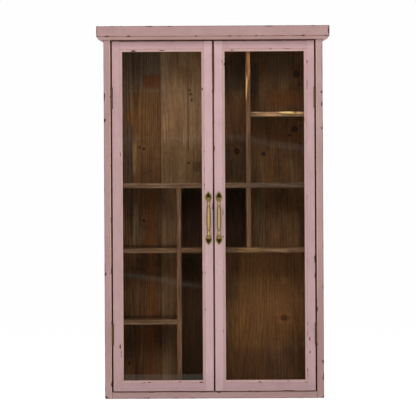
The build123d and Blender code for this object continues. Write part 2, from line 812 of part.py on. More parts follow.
def pull_screw_planes(hand):
    head_y = front_y - pull_plate_thickness + pull_field_depth
    return [Plane(origin=(x, head_y, z), z_dir=(0, -1, 0)) for x, z in pull_points(hand, pull_screw_reach)]


def pull_plates(hand):
    """Two pointed plates with a raised rim round a sunk field, for a screw and for the foot of the bar."""
    half_width = pull_plate_width / 2
    inner_end = pull_half_length - pull_plate_length
    point = (0, pull_half_length)
    outer_arc_point = (0.66 * half_width, pull_half_length - 0.22 * pull_plate_length)
    shoulder = (half_width, pull_half_length - pull_plate_length / 2)
    inner_arc_point = (0.84 * half_width, inner_end + 0.24 * pull_plate_length)
    end = (pull_neck_end, inner_end)
    field_y = front_y - pull_plate_thickness + pull_field_depth
    holes = [screw_clearance_solid(plane, pull_screw) for plane in pull_screw_planes(hand)]
    with BuildPart() as plate:
        with BuildSketch(Plane.XY):
            with BuildLine():
                ThreePointArc(point, outer_arc_point, shoulder)
                ThreePointArc(shoulder, inner_arc_point, end)
                Line(end, (0, inner_end))
                mirror(about=Plane.YZ)
            outline = make_face()
        extrude(amount=pull_plate_thickness)
        chamfer(plate.edges().group_by(Axis.Z)[-1], pull_rim_bevel)
        with BuildSketch(Plane.XY.offset(pull_plate_thickness)):
            offset(outline.face(), amount=-pull_rim_width, mode=Mode.ADD)
        extrude(amount=-pull_field_depth, mode=Mode.SUBTRACT)
        with BuildSketch(Plane.XY):
            with Locations((0, pull_foot_reach)):
                Circle(pull_rivet_radius + running_clearance)
        extrude(amount=pull_plate_thickness, mode=Mode.SUBTRACT)
    upper = front_plane(front_y).location * Pos(hand * pull_offset, pull_height, 0) * plate.part
    lower = upper.mirror(Plane.XY.offset(pull_height))
    with BuildPart() as plates:
        add([upper, lower])
        add(holes, mode=Mode.SUBTRACT)
    return plates.part


def bar_plane(hand, reach, proud, along, outward):
    """A plane square to the bar, reach above its middle, where the bar runs by along up and by outward out."""
    return Plane(
        origin=(hand * pull_offset, front_y - proud, pull_height + reach),
        x_dir=(1, 0, 0),
        z_dir=(0, -outward, along),
    )


def pull_bar(hand):
    """A bowed grip between two collars, whose necks curve down to round feet on the plates."""
    field_proud = pull_plate_thickness - pull_field_depth
    grip_end_proud = pull_grip_proud - pull_grip_bow
    end_slimming = 1 - pull_grip_end_width / pull_grip_width
    neck_run = pull_foot_reach - pull_collar_reach
    neck_top_proud = grip_end_proud - pull_grip_bow / 2
    neck_rise = neck_top_proud - field_proud
    neck_radii = (pull_neck_width / 2, pull_neck_thickness / 2)
    with BuildPart() as bar:
        for section in range(grip_section_count):
            share = 2 * section / (grip_section_count - 1) - 1
            fullness = 1 - end_slimming * abs(share) ** 3
            proud = pull_grip_proud - pull_grip_bow * share**2
            slope = -2 * pull_grip_bow * share / pull_grip_half
            with BuildSketch(bar_plane(hand, share * pull_grip_half, proud, 1, slope)):
                Ellipse(pull_grip_width / 2 * fullness, pull_grip_thickness / 2 * fullness**0.5)
        loft()
        with BuildSketch(bar_plane(hand, pull_grip_half - pull_neck_overlap, grip_end_proud, 1, 0)):
            Ellipse(*neck_radii)
        for turn in neck_angles:
            reach = pull_collar_reach + neck_run * sin(radians(turn))
            proud = field_proud + neck_rise * cos(radians(turn))
            along, outward = neck_run * cos(radians(turn)), -neck_rise * sin(radians(turn))
            with BuildSketch(bar_plane(hand, reach, proud, along, outward)):
                if turn < 90:
                    Ellipse(*neck_radii)
                else:
                    Circle(pull_foot_radius)
        loft()
        collar_plane = Plane(
            origin=(hand * pull_offset, front_y - neck_top_proud, pull_height + pull_collar_reach),
            x_dir=(0, 0, 1),
            z_dir=(0, -1, 0),
        )
        with BuildSketch(collar_plane):
            Ellipse(pull_collar_length / 2, pull_collar_width / 2)
            Rectangle(
                pull_collar_length, pull_collar_width, align=(Align.CENTER, Align.MAX), mode=Mode.SUBTRACT
            )
        revolve(axis=Axis(collar_plane.origin, collar_plane.x_dir))
        with BuildSketch(front_plane(front_y)):
            with Locations((hand * pull_offset, pull_height + pull_foot_reach)):
                Circle(pull_rivet_radius)
        extrude(amount=field_proud)
        mirror(about=Plane.XY.offset(pull_height))
    return bar.part


# Pieces of each door, the left one first
for hand, side in ((-1, "left"), (1, "right")):
    hinge_edge = hand * door_edge_x
    meeting_edge = hand * meeting_edge_x
    mortises = mortise_solids(hand)
    leaf_screw_holes = [screw_clearance_solid(plane, hinge_screw) for plane in hinge_screw_planes(hand, True)]
    pull_screw_holes = [screw_clearance_solid(plane, pull_screw) for plane in pull_screw_planes(hand)]

    with BuildPart() as hinge_stile:
        with BuildSketch(Plane.XY.offset(door_foot_z)):
            Polygon(*stile_points(hinge_edge, -hand, hinge_stile_face), align=None)
        extrude(amount=door_top_z - door_foot_z)
        fillet(hinge_stile.edges().filter_by(Axis.Z).group_by(Axis.Y)[0], arris_rounding)
        add(knuckle_recesses.part, mode=Mode.SUBTRACT)
        add(mortises, mode=Mode.SUBTRACT)
        add(leaf_screw_holes, mode=Mode.SUBTRACT)
    save(hinge_stile.part, f"{side}_hinge_stile")

    strike_x = hand * (meeting_edge_x + (meeting_stile_face + lip_width) / 2)
    strike_z = door_top_z - strike_height / 2 - arris_rounding
    spike_x = strike_width / 4
    with BuildPart() as strike_plate:
        with BuildSketch(front_plane(door_back_y + strike_thickness)):
            with Locations((strike_x, strike_z)):
                RectangleRounded(strike_width, strike_height, arris_rounding)
        extrude(amount=strike_thickness)
        with BuildSketch(front_plane(door_back_y)):
            with Locations((strike_x - spike_x, strike_z), (strike_x + spike_x, strike_z)):
                Circle(strike_spike_radius)
        extrude(amount=strike_spike_length, taper=strike_spike_angle)
    save(strike_plate.part, f"{side}_strike_plate")

    with BuildPart() as meeting_stile:
        with BuildSketch(Plane.XY.offset(door_foot_z)):
            Polygon(*stile_points(meeting_edge, hand, meeting_stile_face), align=None)
        extrude(amount=door_top_z - door_foot_z)
        fillet(meeting_stile.edges().filter_by(Axis.Z).group_by(Axis.Y)[0], arris_rounding)
        add(mortises, mode=Mode.SUBTRACT)
        add(pull_screw_holes, mode=Mode.SUBTRACT)
        add(strike_plate.part, mode=Mode.SUBTRACT)
    save(meeting_stile.part, f"{side}_meeting_stile")

    save(
        rail_solid(hand, high_flat_z, door_top_z, high_flat_z - lip_width, door_top_z),
        f"{side}_top_rail",
    )
    save(
        rail_solid(hand, door_foot_z, low_flat_z, door_foot_z, low_flat_z + lip_width),
        f"{side}_bottom_rail",
    )

    glass_edges = sorted((hand * meeting_flat_x, hand * hinge_flat_x))
    with BuildPart() as glass:
        with BuildSketch(front_plane(lip_front_y)):
            rectangle_between(
                glass_edges[0] + glass_clearance,
                glass_edges[1] - glass_clearance,
                low_flat_z + glass_clearance,
                high_flat_z - glass_clearance,
            )
        extrude(amount=glass_thickness)
    save(glass.part, f"{side}_glass")

    save(upright_bead(hand, hand * hinge_flat_x, -hand), f"{side}_hinge_bead")
    save(upright_bead(hand, hand * meeting_flat_x, hand), f"{side}_meeting_bead")
    save(level_bead(hand, high_flat_z, -1), f"{side}_top_bead")
    save(level_bead(hand, low_flat_z, 1), f"{side}_bottom_bead")

    save(hinge_leaves(hand, True), f"{side}_hinge_door_leaves")
    save(group(hinge_screws(hand, True)), f"{side}_door_hinge_screws")
    save(pull_plates(hand), f"{side}_pull_plates")
    save(pull_bar(hand), f"{side}_pull_bar")
    save(group(screw_solid(plane, pull_screw) for plane in pull_screw_planes(hand)), f"{side}_pull_screws")
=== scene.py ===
from functools import partial

import bmesh
import bpy
import numpy as np
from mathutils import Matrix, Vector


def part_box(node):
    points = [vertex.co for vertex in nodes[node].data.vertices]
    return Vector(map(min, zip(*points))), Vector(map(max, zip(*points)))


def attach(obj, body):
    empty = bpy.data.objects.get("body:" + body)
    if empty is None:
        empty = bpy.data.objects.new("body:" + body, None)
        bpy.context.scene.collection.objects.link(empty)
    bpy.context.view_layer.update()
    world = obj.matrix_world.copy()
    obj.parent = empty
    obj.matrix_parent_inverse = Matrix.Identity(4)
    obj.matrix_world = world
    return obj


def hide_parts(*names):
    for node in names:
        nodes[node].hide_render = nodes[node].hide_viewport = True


# Glazed display cabinet: the looks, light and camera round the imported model. Everything is in metres.
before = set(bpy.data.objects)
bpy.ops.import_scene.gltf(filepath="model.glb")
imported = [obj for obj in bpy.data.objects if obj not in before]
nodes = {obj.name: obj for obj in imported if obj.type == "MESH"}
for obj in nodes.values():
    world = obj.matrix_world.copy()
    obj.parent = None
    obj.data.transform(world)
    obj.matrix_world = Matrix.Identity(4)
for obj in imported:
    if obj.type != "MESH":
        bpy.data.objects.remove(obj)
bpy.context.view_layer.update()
hands = (("left", -1), ("right", 1))  # each side's name, and the sign of its X
far = 9.0  # further than any piece reaches
print("frame loaded with", len(nodes), "pieces")


# An sRGB hex colour as the linear one that a shader takes: c / 12.92 near black, else ((c + 0.055) / 1.055) ^ 2.4
def linearColour(hexCode):
    channels = np.array([int(hexCode[i : i + 2], 16) for i in (1, 3, 5)]) / 255
    channels = np.where(channels <= 0.04045, channels / 12.92, ((channels + 0.055) / 1.055) ** 2.4)
    return (*channels.tolist(), 1.0)


# Adds one shader node with its settings. Its inputs are one alone, a tuple in their order, or a dictionary by name or
# number, and each is a value, a hex colour, an output, or a node whose first live output it takes. The stops are those
# of a colour ramp
def addNode(tree, kind, inputs=(), stops=(), **settings):
    node = tree.nodes.new("ShaderNode" + kind)
    for name, value in settings.items():
        setattr(node, name, value)
    if not isinstance(inputs, dict):
        inputs = dict(enumerate(inputs if isinstance(inputs, tuple) else (inputs,)))
    for key, value in inputs.items():
        socket = node.inputs[key]
        if isinstance(value, bpy.types.Node):
            value = next(output for output in value.outputs if output.enabled)
        if isinstance(value, str):
            value = linearColour(value)[: len(socket.default_value)]
        if isinstance(value, bpy.types.NodeSocket):
            tree.links.new(value, socket)
        else:
            socket.default_value = value
    for spot, tone in stops[2:]:
        node.color_ramp.elements.new(spot)
    for element, (spot, tone) in zip(node.color_ramp.elements if stops else (), sorted(stops)):
        element.position = spot
        element.color = linearColour(tone) if isinstance(tone, str) else (tone, tone, tone, 1.0)
    return node


# An empty material, a partial that adds nodes to it, and the coordinates of the piece
def newMaterial(name):
    material = bpy.data.materials.new(name)
    material.use_nodes = True
    material.node_tree.nodes.clear()
    add = partial(addNode, material.node_tree)
    return material, add, add("TexCoord").outputs["Object"]


# Ends a material: its shader to the surface output
def closeMaterial(material, add, shader):
    add("OutputMaterial", {"Surface": shader})
    return material


# Puts a material on a CAD piece
def dress(piece, material):
    for slot in nodes[piece].material_slots:
        slot.material = material


# Metres from a box's nearest faces along X, Y and Z, negative outside it
def faceDistances(add, place, low, high):
    fromLow = add("VectorMath", (place, low), operation="SUBTRACT")
    fromHigh = add("VectorMath", (high, place), operation="SUBTRACT")
    return add("SeparateXYZ", add("VectorMath", (fromLow, fromHigh), operation="MINIMUM")).outputs


# Metres from a box's nearest edge: the middle one of the distances to its nearest faces.
# An extra line is where two planes cross, and is as far as the further one of them
def edgeDistance(add, place, low, high, lines=()):
    acrossX, acrossY, acrossZ = faceDistances(add, place, low, high)
    smaller = add("Math", (acrossX, acrossY), operation="MINIMUM")
    larger = add("Math", (acrossX, acrossY), operation="MAXIMUM")
    capped = add("Math", (larger, acrossZ), operation="MINIMUM")
    distance = add("Math", (smaller, capped), operation="MAXIMUM")
    axes = add("SeparateXYZ", place).outputs
    for (axisA, valueA), (axisB, valueB) in lines:
        offA = add("Math", (axes["XYZ".index(axisA)], valueA), operation="SUBTRACT")
        offB = add("Math", (axes["XYZ".index(axisB)], valueB), operation="SUBTRACT")
        awayA = add("Math", offA, operation="ABSOLUTE")
        awayB = add("Math", offB, operation="ABSOLUTE")
        away = add("Math", (awayA, awayB), operation="MAXIMUM")
        distance = add("Math", (distance, away), operation="MINIMUM")
    return distance


smoothly = {"interpolation_type": "SMOOTHSTEP"}  # eases a MapRange in and out


# 1 well inside a box and 0 outside: the least distance to its faces, spread from -soft to soft
def insideBox(add, place, low, high, soft):
    acrossX, acrossY, acrossZ = faceDistances(add, place, low, high)
    least = add("Math", (add("Math", (acrossX, acrossY), operation="MINIMUM"), acrossZ), operation="MINIMUM")
    return add("MapRange", (least, -soft, soft, 0.0, 1.0), **smoothly)


# (point - centre) / halfSize, which is 1 long on the outline of an oval. A halfSize of 0 leaves that axis out
def inHalfSizes(add, place, centre, halfSize):
    offset = add("VectorMath", (place, centre), operation="SUBTRACT")
    return add("VectorMath", (offset, [1 / half if half else 0.0 for half in halfSize]), operation="MULTIPLY")


# A spot that is 1 in its middle and 0 outside: 1 minus a smooth step of the length in half sizes, with its outline
# made ragged by a noise
def softSpot(add, place, centre, halfSize, ragged, soft):
    length = add("VectorMath", inHalfSizes(add, place, centre, halfSize), operation="LENGTH")
    rough = add("Math", (length, ragged), operation="ADD")
    return add("MapRange", (rough, 1 - soft, 1 + soft, 1.0, 0.0), **smoothly)


# Fractal noise at place * stretch, with the stretch in cycles a metre
def stretchedNoise(add, place, stretch, detail, roughness):
    noiseAt = add("VectorMath", (place, stretch), operation="MULTIPLY")
    return add("TexNoise", {"Vector": noiseAt, "Scale": 1.0, "Detail": detail, "Roughness": roughness})


# Lays a tone over a colour: mix(colour, tone, share * strength)
def overlay(add, colour, tone, share, strength):
    part = add("Math", (share, strength), operation="MULTIPLY")
    return add("Mix", {0: part, 6: colour, 7: tone}, data_type="RGBA")


# Pine, sawn flat. A growth ring is a contour of height = distance from the pith line + a slow bend - taper * length
# along the board, and beside a knot that height is squeezed, so that the grain flows round it on both sides.
# Returns the colour, and the height for a bump
def pineFigure(add, place, wood):
    axes = add("SeparateXYZ", place).outputs
    along, across, through = ("XYZ".index(axis) for axis in wood["axes"])
    board = add("CombineXYZ", (axes[across], axes[through], axes[along]))
    seed = (wood["seed"] * 1.7, wood["seed"] * 0.9, wood["seed"] * 2.3)
    seeded = add("VectorMath", (board, seed), operation="ADD")
    warp = stretchedNoise(add, seeded, (11.0, 11.0, 2.2), 2.5, 0.5)
    # real fibres are under 1 mm wide: these are drawn 4 mm wide, so that they still show in the render
    fibres = stretchedNoise(add, seeded, (230.0, 230.0, 7.0), 4.0, 0.65)
    streaks = stretchedNoise(add, seeded, (90.0, 90.0, 3.2), 3.0, 0.55)
    clouds = stretchedNoise(add, seeded, (24.0, 24.0, 10.0), 5.0, 0.6)
    flecks = stretchedNoise(add, seeded, (170.0, 170.0, 60.0), 3.0, 0.6)

    # a MapRange is given what it reads, that value's two ends, and what they become
    bend = add("MapRange", (warp, 0.25, 0.75, -wood["warp"], wood["warp"]))
    fromPith = add("VectorMath", (board, (wood["pith"], wood["pithDepth"], 0.0)), operation="SUBTRACT")
    flat = add("VectorMath", (fromPith, (1.0, 1.0, 0.0)), operation="MULTIPLY")
    radius = add("VectorMath", flat, operation="LENGTH")
    rise = add("Math", (axes[along], -wood["taper"]), operation="MULTIPLY")
    height = add("Math", (add("Math", (radius, bend), operation="ADD"), rise), operation="ADD")
    # lengths round a knot are in its half sizes: its core ends near 1, and it is less dark at its heart
    knotCore = knotHalo = 0.0
    for x, z, halfWidth, halfHeight, darkness in wood["knots"]:
        fromKnot = inHalfSizes(add, board, (x, 0.0, z), (halfWidth, 0.0, halfHeight))
        length = add("VectorMath", fromKnot, operation="LENGTH")
        nearness = (length, 0.0, wood["knotReach"], wood["knotSqueeze"], 0.0)
        near = add("MapRange", nearness, interpolation_type="SMOOTHERSTEP")
        sideways = add("Math", (axes[across], x), operation="SUBTRACT")
        squeeze = add("Math", (sideways, near), operation="MULTIPLY")
        height = add("Math", (height, squeeze), operation="SUBTRACT" if x > wood["pith"] else "ADD")
        core = add("MapRange", (length, 0.6, 1.1, 1.0, 0.0), **smoothly)
        heart = add("MapRange", (length, 0.15, 0.75, 0.7 * darkness, darkness))
        core = add("Math", (core, heart), operation="MULTIPLY")
        halo = add("MapRange", (length, 1.0, wood["haloReach"], 1.0, 0.0), **smoothly)
        knotCore = add("Math", (knotCore, core), operation="MAXIMUM")
        knotHalo = add("Math", (knotHalo, halo), operation="MAXIMUM")

    # one ring is pale early wood that darkens to a thin line of late wood
    turns = add("Math", (height, 1 / wood["ringWidth"]), operation="MULTIPLY")
    ring = add("Math", turns, operation="FRACT")
    rings = add("ValToRGB", ring, stops=((0.0, 0.0), (0.4, 0.1), (0.82, 1.0), (1.0, 0.0)))

    cloudy = add("MapRange", (clouds, 0.35, 0.66, 0.0, 1.0))
    colour = add("Mix", {0: cloudy, 6: wood["dark"], 7: wood["pale"]}, data_type="RGBA")
    warm = add("MapRange", (streaks, 0.46, 0.66, 0.0, wood["warmth"]))
    colour = add("Mix", {0: warm, 6: colour, 7: wood["warm"]}, data_type="RGBA")
    ragged = add("MapRange", (clouds, 0.3, 0.7, -0.4, 0.4))
    shift = add("VectorMath", (ragged, wood["patchShift"]), operation="MULTIPLY")
    shifted = add("VectorMath", (board, shift), operation="ADD")
    # the patches and the painted shade are on the side that faces the bays, not on the back
    shownTo = wood["shownDepth"]
    shownSide = add("MapRange", (axes[1], shownTo - 0.0005, shownTo + 0.0005, 1.0, 0.0))
    for x, z, halfWidth, halfHeight, tone, strength in wood.get("patches", ()):
        fromMiddle = inHalfSizes(add, shifted, (x, 0.0, z), (halfWidth, 0.0, halfHeight))
        spot = insideBox(add, fromMiddle, (-1.0, -1.0, -1.0), (1.0, 1.0, 1.0), wood["patchSoft"])
        shown = add("Math", (spot, shownSide), operation="MULTIPLY")
        colour = overlay(add, colour, tone, shown, strength)
    colour = overlay(add, colour, wood["late"], rings, wood["ringContrast"])
    fibreShade = add("MapRange", (fibres, 0.32, 0.68, 0.71, 1.29))
    fleckShade = add("MapRange", (flecks, 0.32, 0.68, 0.84, 1.16))
    shade = add("Math", (fibreShade, fleckShade), operation="MULTIPLY")
    # painted shade: each listed box darkens the wood by its factor, for the shadows in the bays
    for left, right, foot, head, factor in wood.get("paintedShade", ()):
        within = insideBox(add, board, (left, -far, foot), (right, far, head), wood["paintedShadeSoft"])
        within = add("Math", (within, shownSide), operation="MULTIPLY")
        shadeFactor = add("MapRange", (within, 0.0, 1.0, 1.0, factor))
        shade = add("Math", (shade, shadeFactor), operation="MULTIPLY")
    if wood["knots"]:
        colour = overlay(add, colour, wood["halo"], knotHalo, wood["haloStrength"])
        colour = add("Mix", {0: knotCore, 6: colour, 7: wood["knot"]}, data_type="RGBA")
    for x, low, high, width in wood.get("cracks", ()):
        wobble = add("MapRange", (warp, 0.3, 0.7, x - 0.003, x + 0.003))
        away = add("Math", add("Math", (axes[across], wobble), operation="SUBTRACT"), operation="ABSOLUTE")
        thin = add("MapRange", (away, width * 0.4, width, 0.7, 0.0))
        half = (high - low) / 2
        off = add("Math", (axes[along], low + half), operation="SUBTRACT")
        off = add("Math", off, operation="ABSOLUTE")
        ends = add("MapRange", (off, 0.8 * half, half, 1.0, 0.0))
        colour = overlay(add, colour, wood["knot"], thin, ends)
    colour = add("VectorMath", (colour, shade), operation="MULTIPLY")
    return colour, add("Math", (fibres, rings), operation="SUBTRACT")


# Brown stained pine, sawn, aged and waxed: low sheen, open grain that shows as fine lengthwise grooves. The front
# edge, if it has one, is rubbed back through the stain to paler wood, in streaks, and furthest where a rub is listed
def stainedPine(name, wood):
    material, add, place = newMaterial(name)
    colour, grooves = pineFigure(add, place, wood)
    if "worn" in wood:
        depth = add("SeparateXYZ", place).outputs[1]
        front = add("MapRange", (depth, wood["frontY"], wood["frontY"] + wood["rubDepth"], 1.0, 0.0))
        streaky = [16.0 if axis == wood["axes"][0] else 230.0 for axis in "XYZ"]
        scuff = stretchedNoise(add, place, streaky, 4.0, 0.6)
        rub = add("MapRange", (scuff, 0.32, 0.60, 0.35, 1.1))
        wornShade = add("MapRange", (scuff, 0.38, 0.62, 0.58, 1.42))
        worn = add("VectorMath", (wood["worn"], wornShade), operation="MULTIPLY")
        colour = overlay(add, colour, worn, front, rub)
        broken = add("MapRange", (scuff, 0.3, 0.7, 0.9, -0.7))
        for x, z, halfWidth, halfHeight, tone, strength in wood.get("rubsAndPaintedLight", ()):
            spot = softSpot(add, place, (x, 0.0, z), (halfWidth, 0.0, halfHeight), broken, 0.22)
            spot = add("Math", (spot, front), operation="MULTIPLY")
            fresh = add("VectorMath", (tone, wornShade), operation="MULTIPLY")
            colour = overlay(add, colour, fresh, spot, strength)
    bump = add("Bump", {"Strength": 0.35, "Distance": 0.0006, "Height": grooves})
    rough = add("MapRange", (grooves, -0.6, 0.6, 0.75, 0.58))
    inputs = {"Base Color": colour, "Roughness": rough, "Normal": bump, "Specular IOR Level": 0.2, "IOR": 1.48}
    return closeMaterial(material, add, add("BsdfPrincipled", inputs))


# Pink chalk paint, brushed on by hand along the board: matt and chalky, rubbed thin on the edges, where the doors'
# pale edge tone is partly painted highlight, and chipped to dark pine. A chip is where a patchy noise reaches further
# in from the edge than the point is, or inside a listed scar.
# Low and high are the corners of the piece's box
def chalkPaint(name, coat, low, high):
    material, add, place = newMaterial(name)
    seed = (coat["seed"] * 1.3, coat["seed"] * 0.7, coat["seed"] * 1.9)
    seeded = add("VectorMath", (place, seed), operation="ADD")
    mottle = add("TexNoise", {"Vector": seeded, "Scale": 17.0, "Detail": 5.0, "Roughness": 0.6})
    brushed = [8.0 if axis == coat["axes"][0] else 210.0 for axis in "XYZ"]
    strokes = stretchedNoise(add, seeded, brushed, 3.0, 0.6)
    presence = add("TexNoise", {"Vector": seeded, "Scale": coat["chipsPerMetre"], "Detail": 2.0, "Roughness": 0.5})
    crumbs = add("TexNoise", {"Vector": seeded, "Scale": 240.0, "Detail": 3.0, "Roughness": 0.6})
    ragged = add("MapRange", (crumbs, 0.3, 0.7, -0.45, 0.45))
    distance = edgeDistance(add, place, low, high, coat.get("lines", ()))

    mottled = add("MapRange", (mottle, 0.35, 0.66, 0.0, 1.0))
    colour = add("Mix", {0: mottled, 6: coat["shade"], 7: coat["pink"]}, data_type="RGBA")
    strokeShade = add("MapRange", (strokes, 0.3, 0.7, 0.955, 1.04))
    colour = add("VectorMath", (colour, strokeShade), operation="MULTIPLY")

    # painted shade: a door is darkened under the cornice, in the shadow of its overhang, and towards its foot:
    # a factor that goes with height
    for fromZ, toZ, fromShade, toShade in coat.get("paintedShadeLevels", ()):
        level = add("SeparateXYZ", place).outputs[2]
        levelShade = add("MapRange", (level, fromZ, toZ, fromShade, toShade))
        colour = add("VectorMath", (colour, levelShade), operation="MULTIPLY")

    # the paint thins along the last two millimetres before an edge, to the rubbed tone; on doors and beads that pale
    # peach tone is partly painted highlight
    patchy = add("MapRange", (presence, 0.36, 0.66, 0.4, 1.0))
    thinReach = add("Math", (patchy, coat["thinWidth"]), operation="MULTIPLY")
    thinGap = add("Math", (thinReach, distance), operation="SUBTRACT")
    thin = add("MapRange", (thinGap, -0.0004, 0.0010, 0.0, coat["thinStrength"]))
    colour = add("Mix", {0: thin, 6: colour, 7: coat["rubbedAndSheen"]}, data_type="RGBA")
    # spots of a tone laid over the paint: worn rubs, and painted light and shade where listed
    for centre, halfSize, tone, strength in coat.get("rubsAndPaintedLight", ()):
        spot = softSpot(add, place, centre, halfSize, ragged, 0.4)
        colour = overlay(add, colour, tone, spot, strength)

    chance = add("MapRange", (presence, coat["chipFrom"], coat["chipFrom"] + 0.1, 0.0, 1.0))
    crumbly = add("MapRange", (crumbs, 0.35, 0.65, 0.2, 1.5))
    likely = add("Math", (chance, crumbly), operation="MULTIPLY")
    reach = add("Math", (likely, coat["chipReach"]), operation="MULTIPLY")
    chipGap = add("Math", (reach, distance), operation="SUBTRACT")
    chips = add("MapRange", (chipGap, 0.0, 0.0004, 0.0, 1.0))
    for x, y, z, halfWidth, halfHeight in coat.get("scars", ()):
        halfSize = (halfWidth, coat["scarDepth"], halfHeight)
        spot = softSpot(add, place, (x, y, z), halfSize, ragged, 0.14)
        chips = add("Math", (chips, spot), operation="MAXIMUM")
    bareShade = add("MapRange", (strokes, 0.3, 0.7, 0.7, 1.35))
    bare = add("VectorMath", (coat["bare"], bareShade), operation="MULTIPLY")
    colour = add("Mix", {0: chips, 6: colour, 7: bare}, data_type="RGBA")

    # grime gathers where the face meets its neighbour, in the last millimetre
    grime = add("MapRange", (distance, 0.0, coat["grimeWidth"], coat["grime"], 0.0), **smoothly)
    colour = add("Mix", {0: grime, 6: colour, 7: coat["dirt"]}, data_type="RGBA")

    # in the gap round a door the colour goes to the gap tone: round the doors a dark red-brown, worn paint and dirt
    # and partly painted shade, and on the bottom board a light pink, painted light
    if coat.get("gap"):
        deep = insideBox(add, place, *coat["gap"], coat["gapSoft"])
        colour = overlay(add, colour, coat["gapTone"], deep, coat["gapStrength"])

    relief = add("Math", (add("Math", (strokes, 0.16), operation="MULTIPLY"), chips), operation="SUBTRACT")
    rough = add("MapRange", (chips, 0.0, 1.0, 0.88, 0.66))
    if "inside" in coat:
        inner, grooves = pineFigure(add, place, coat["wood"])
        isInside = 0.0
        for innerLow, innerHigh in coat["inside"]:
            here = insideBox(add, place, innerLow, innerHigh, 0.0002)
            isInside = add("Math", (isInside, here), operation="MAXIMUM")
        colour = add("Mix", {0: isInside, 6: colour, 7: inner}, data_type="RGBA")
        relief = add("Mix", {0: isInside, 2: relief, 3: grooves}, data_type="FLOAT")
        rough = add("Mix", {0: isInside, 2: rough, 3: 0.66}, data_type="FLOAT")
    bump = add("Bump", {"Strength": 0.45, "Distance": 0.0005, "Height": relief})
    inputs = {"Base Color": colour, "Roughness": rough, "Normal": bump, "Specular IOR Level": 0.25, "IOR": 1.5}
    return closeMaterial(material, add, add("BsdfPrincipled", inputs))
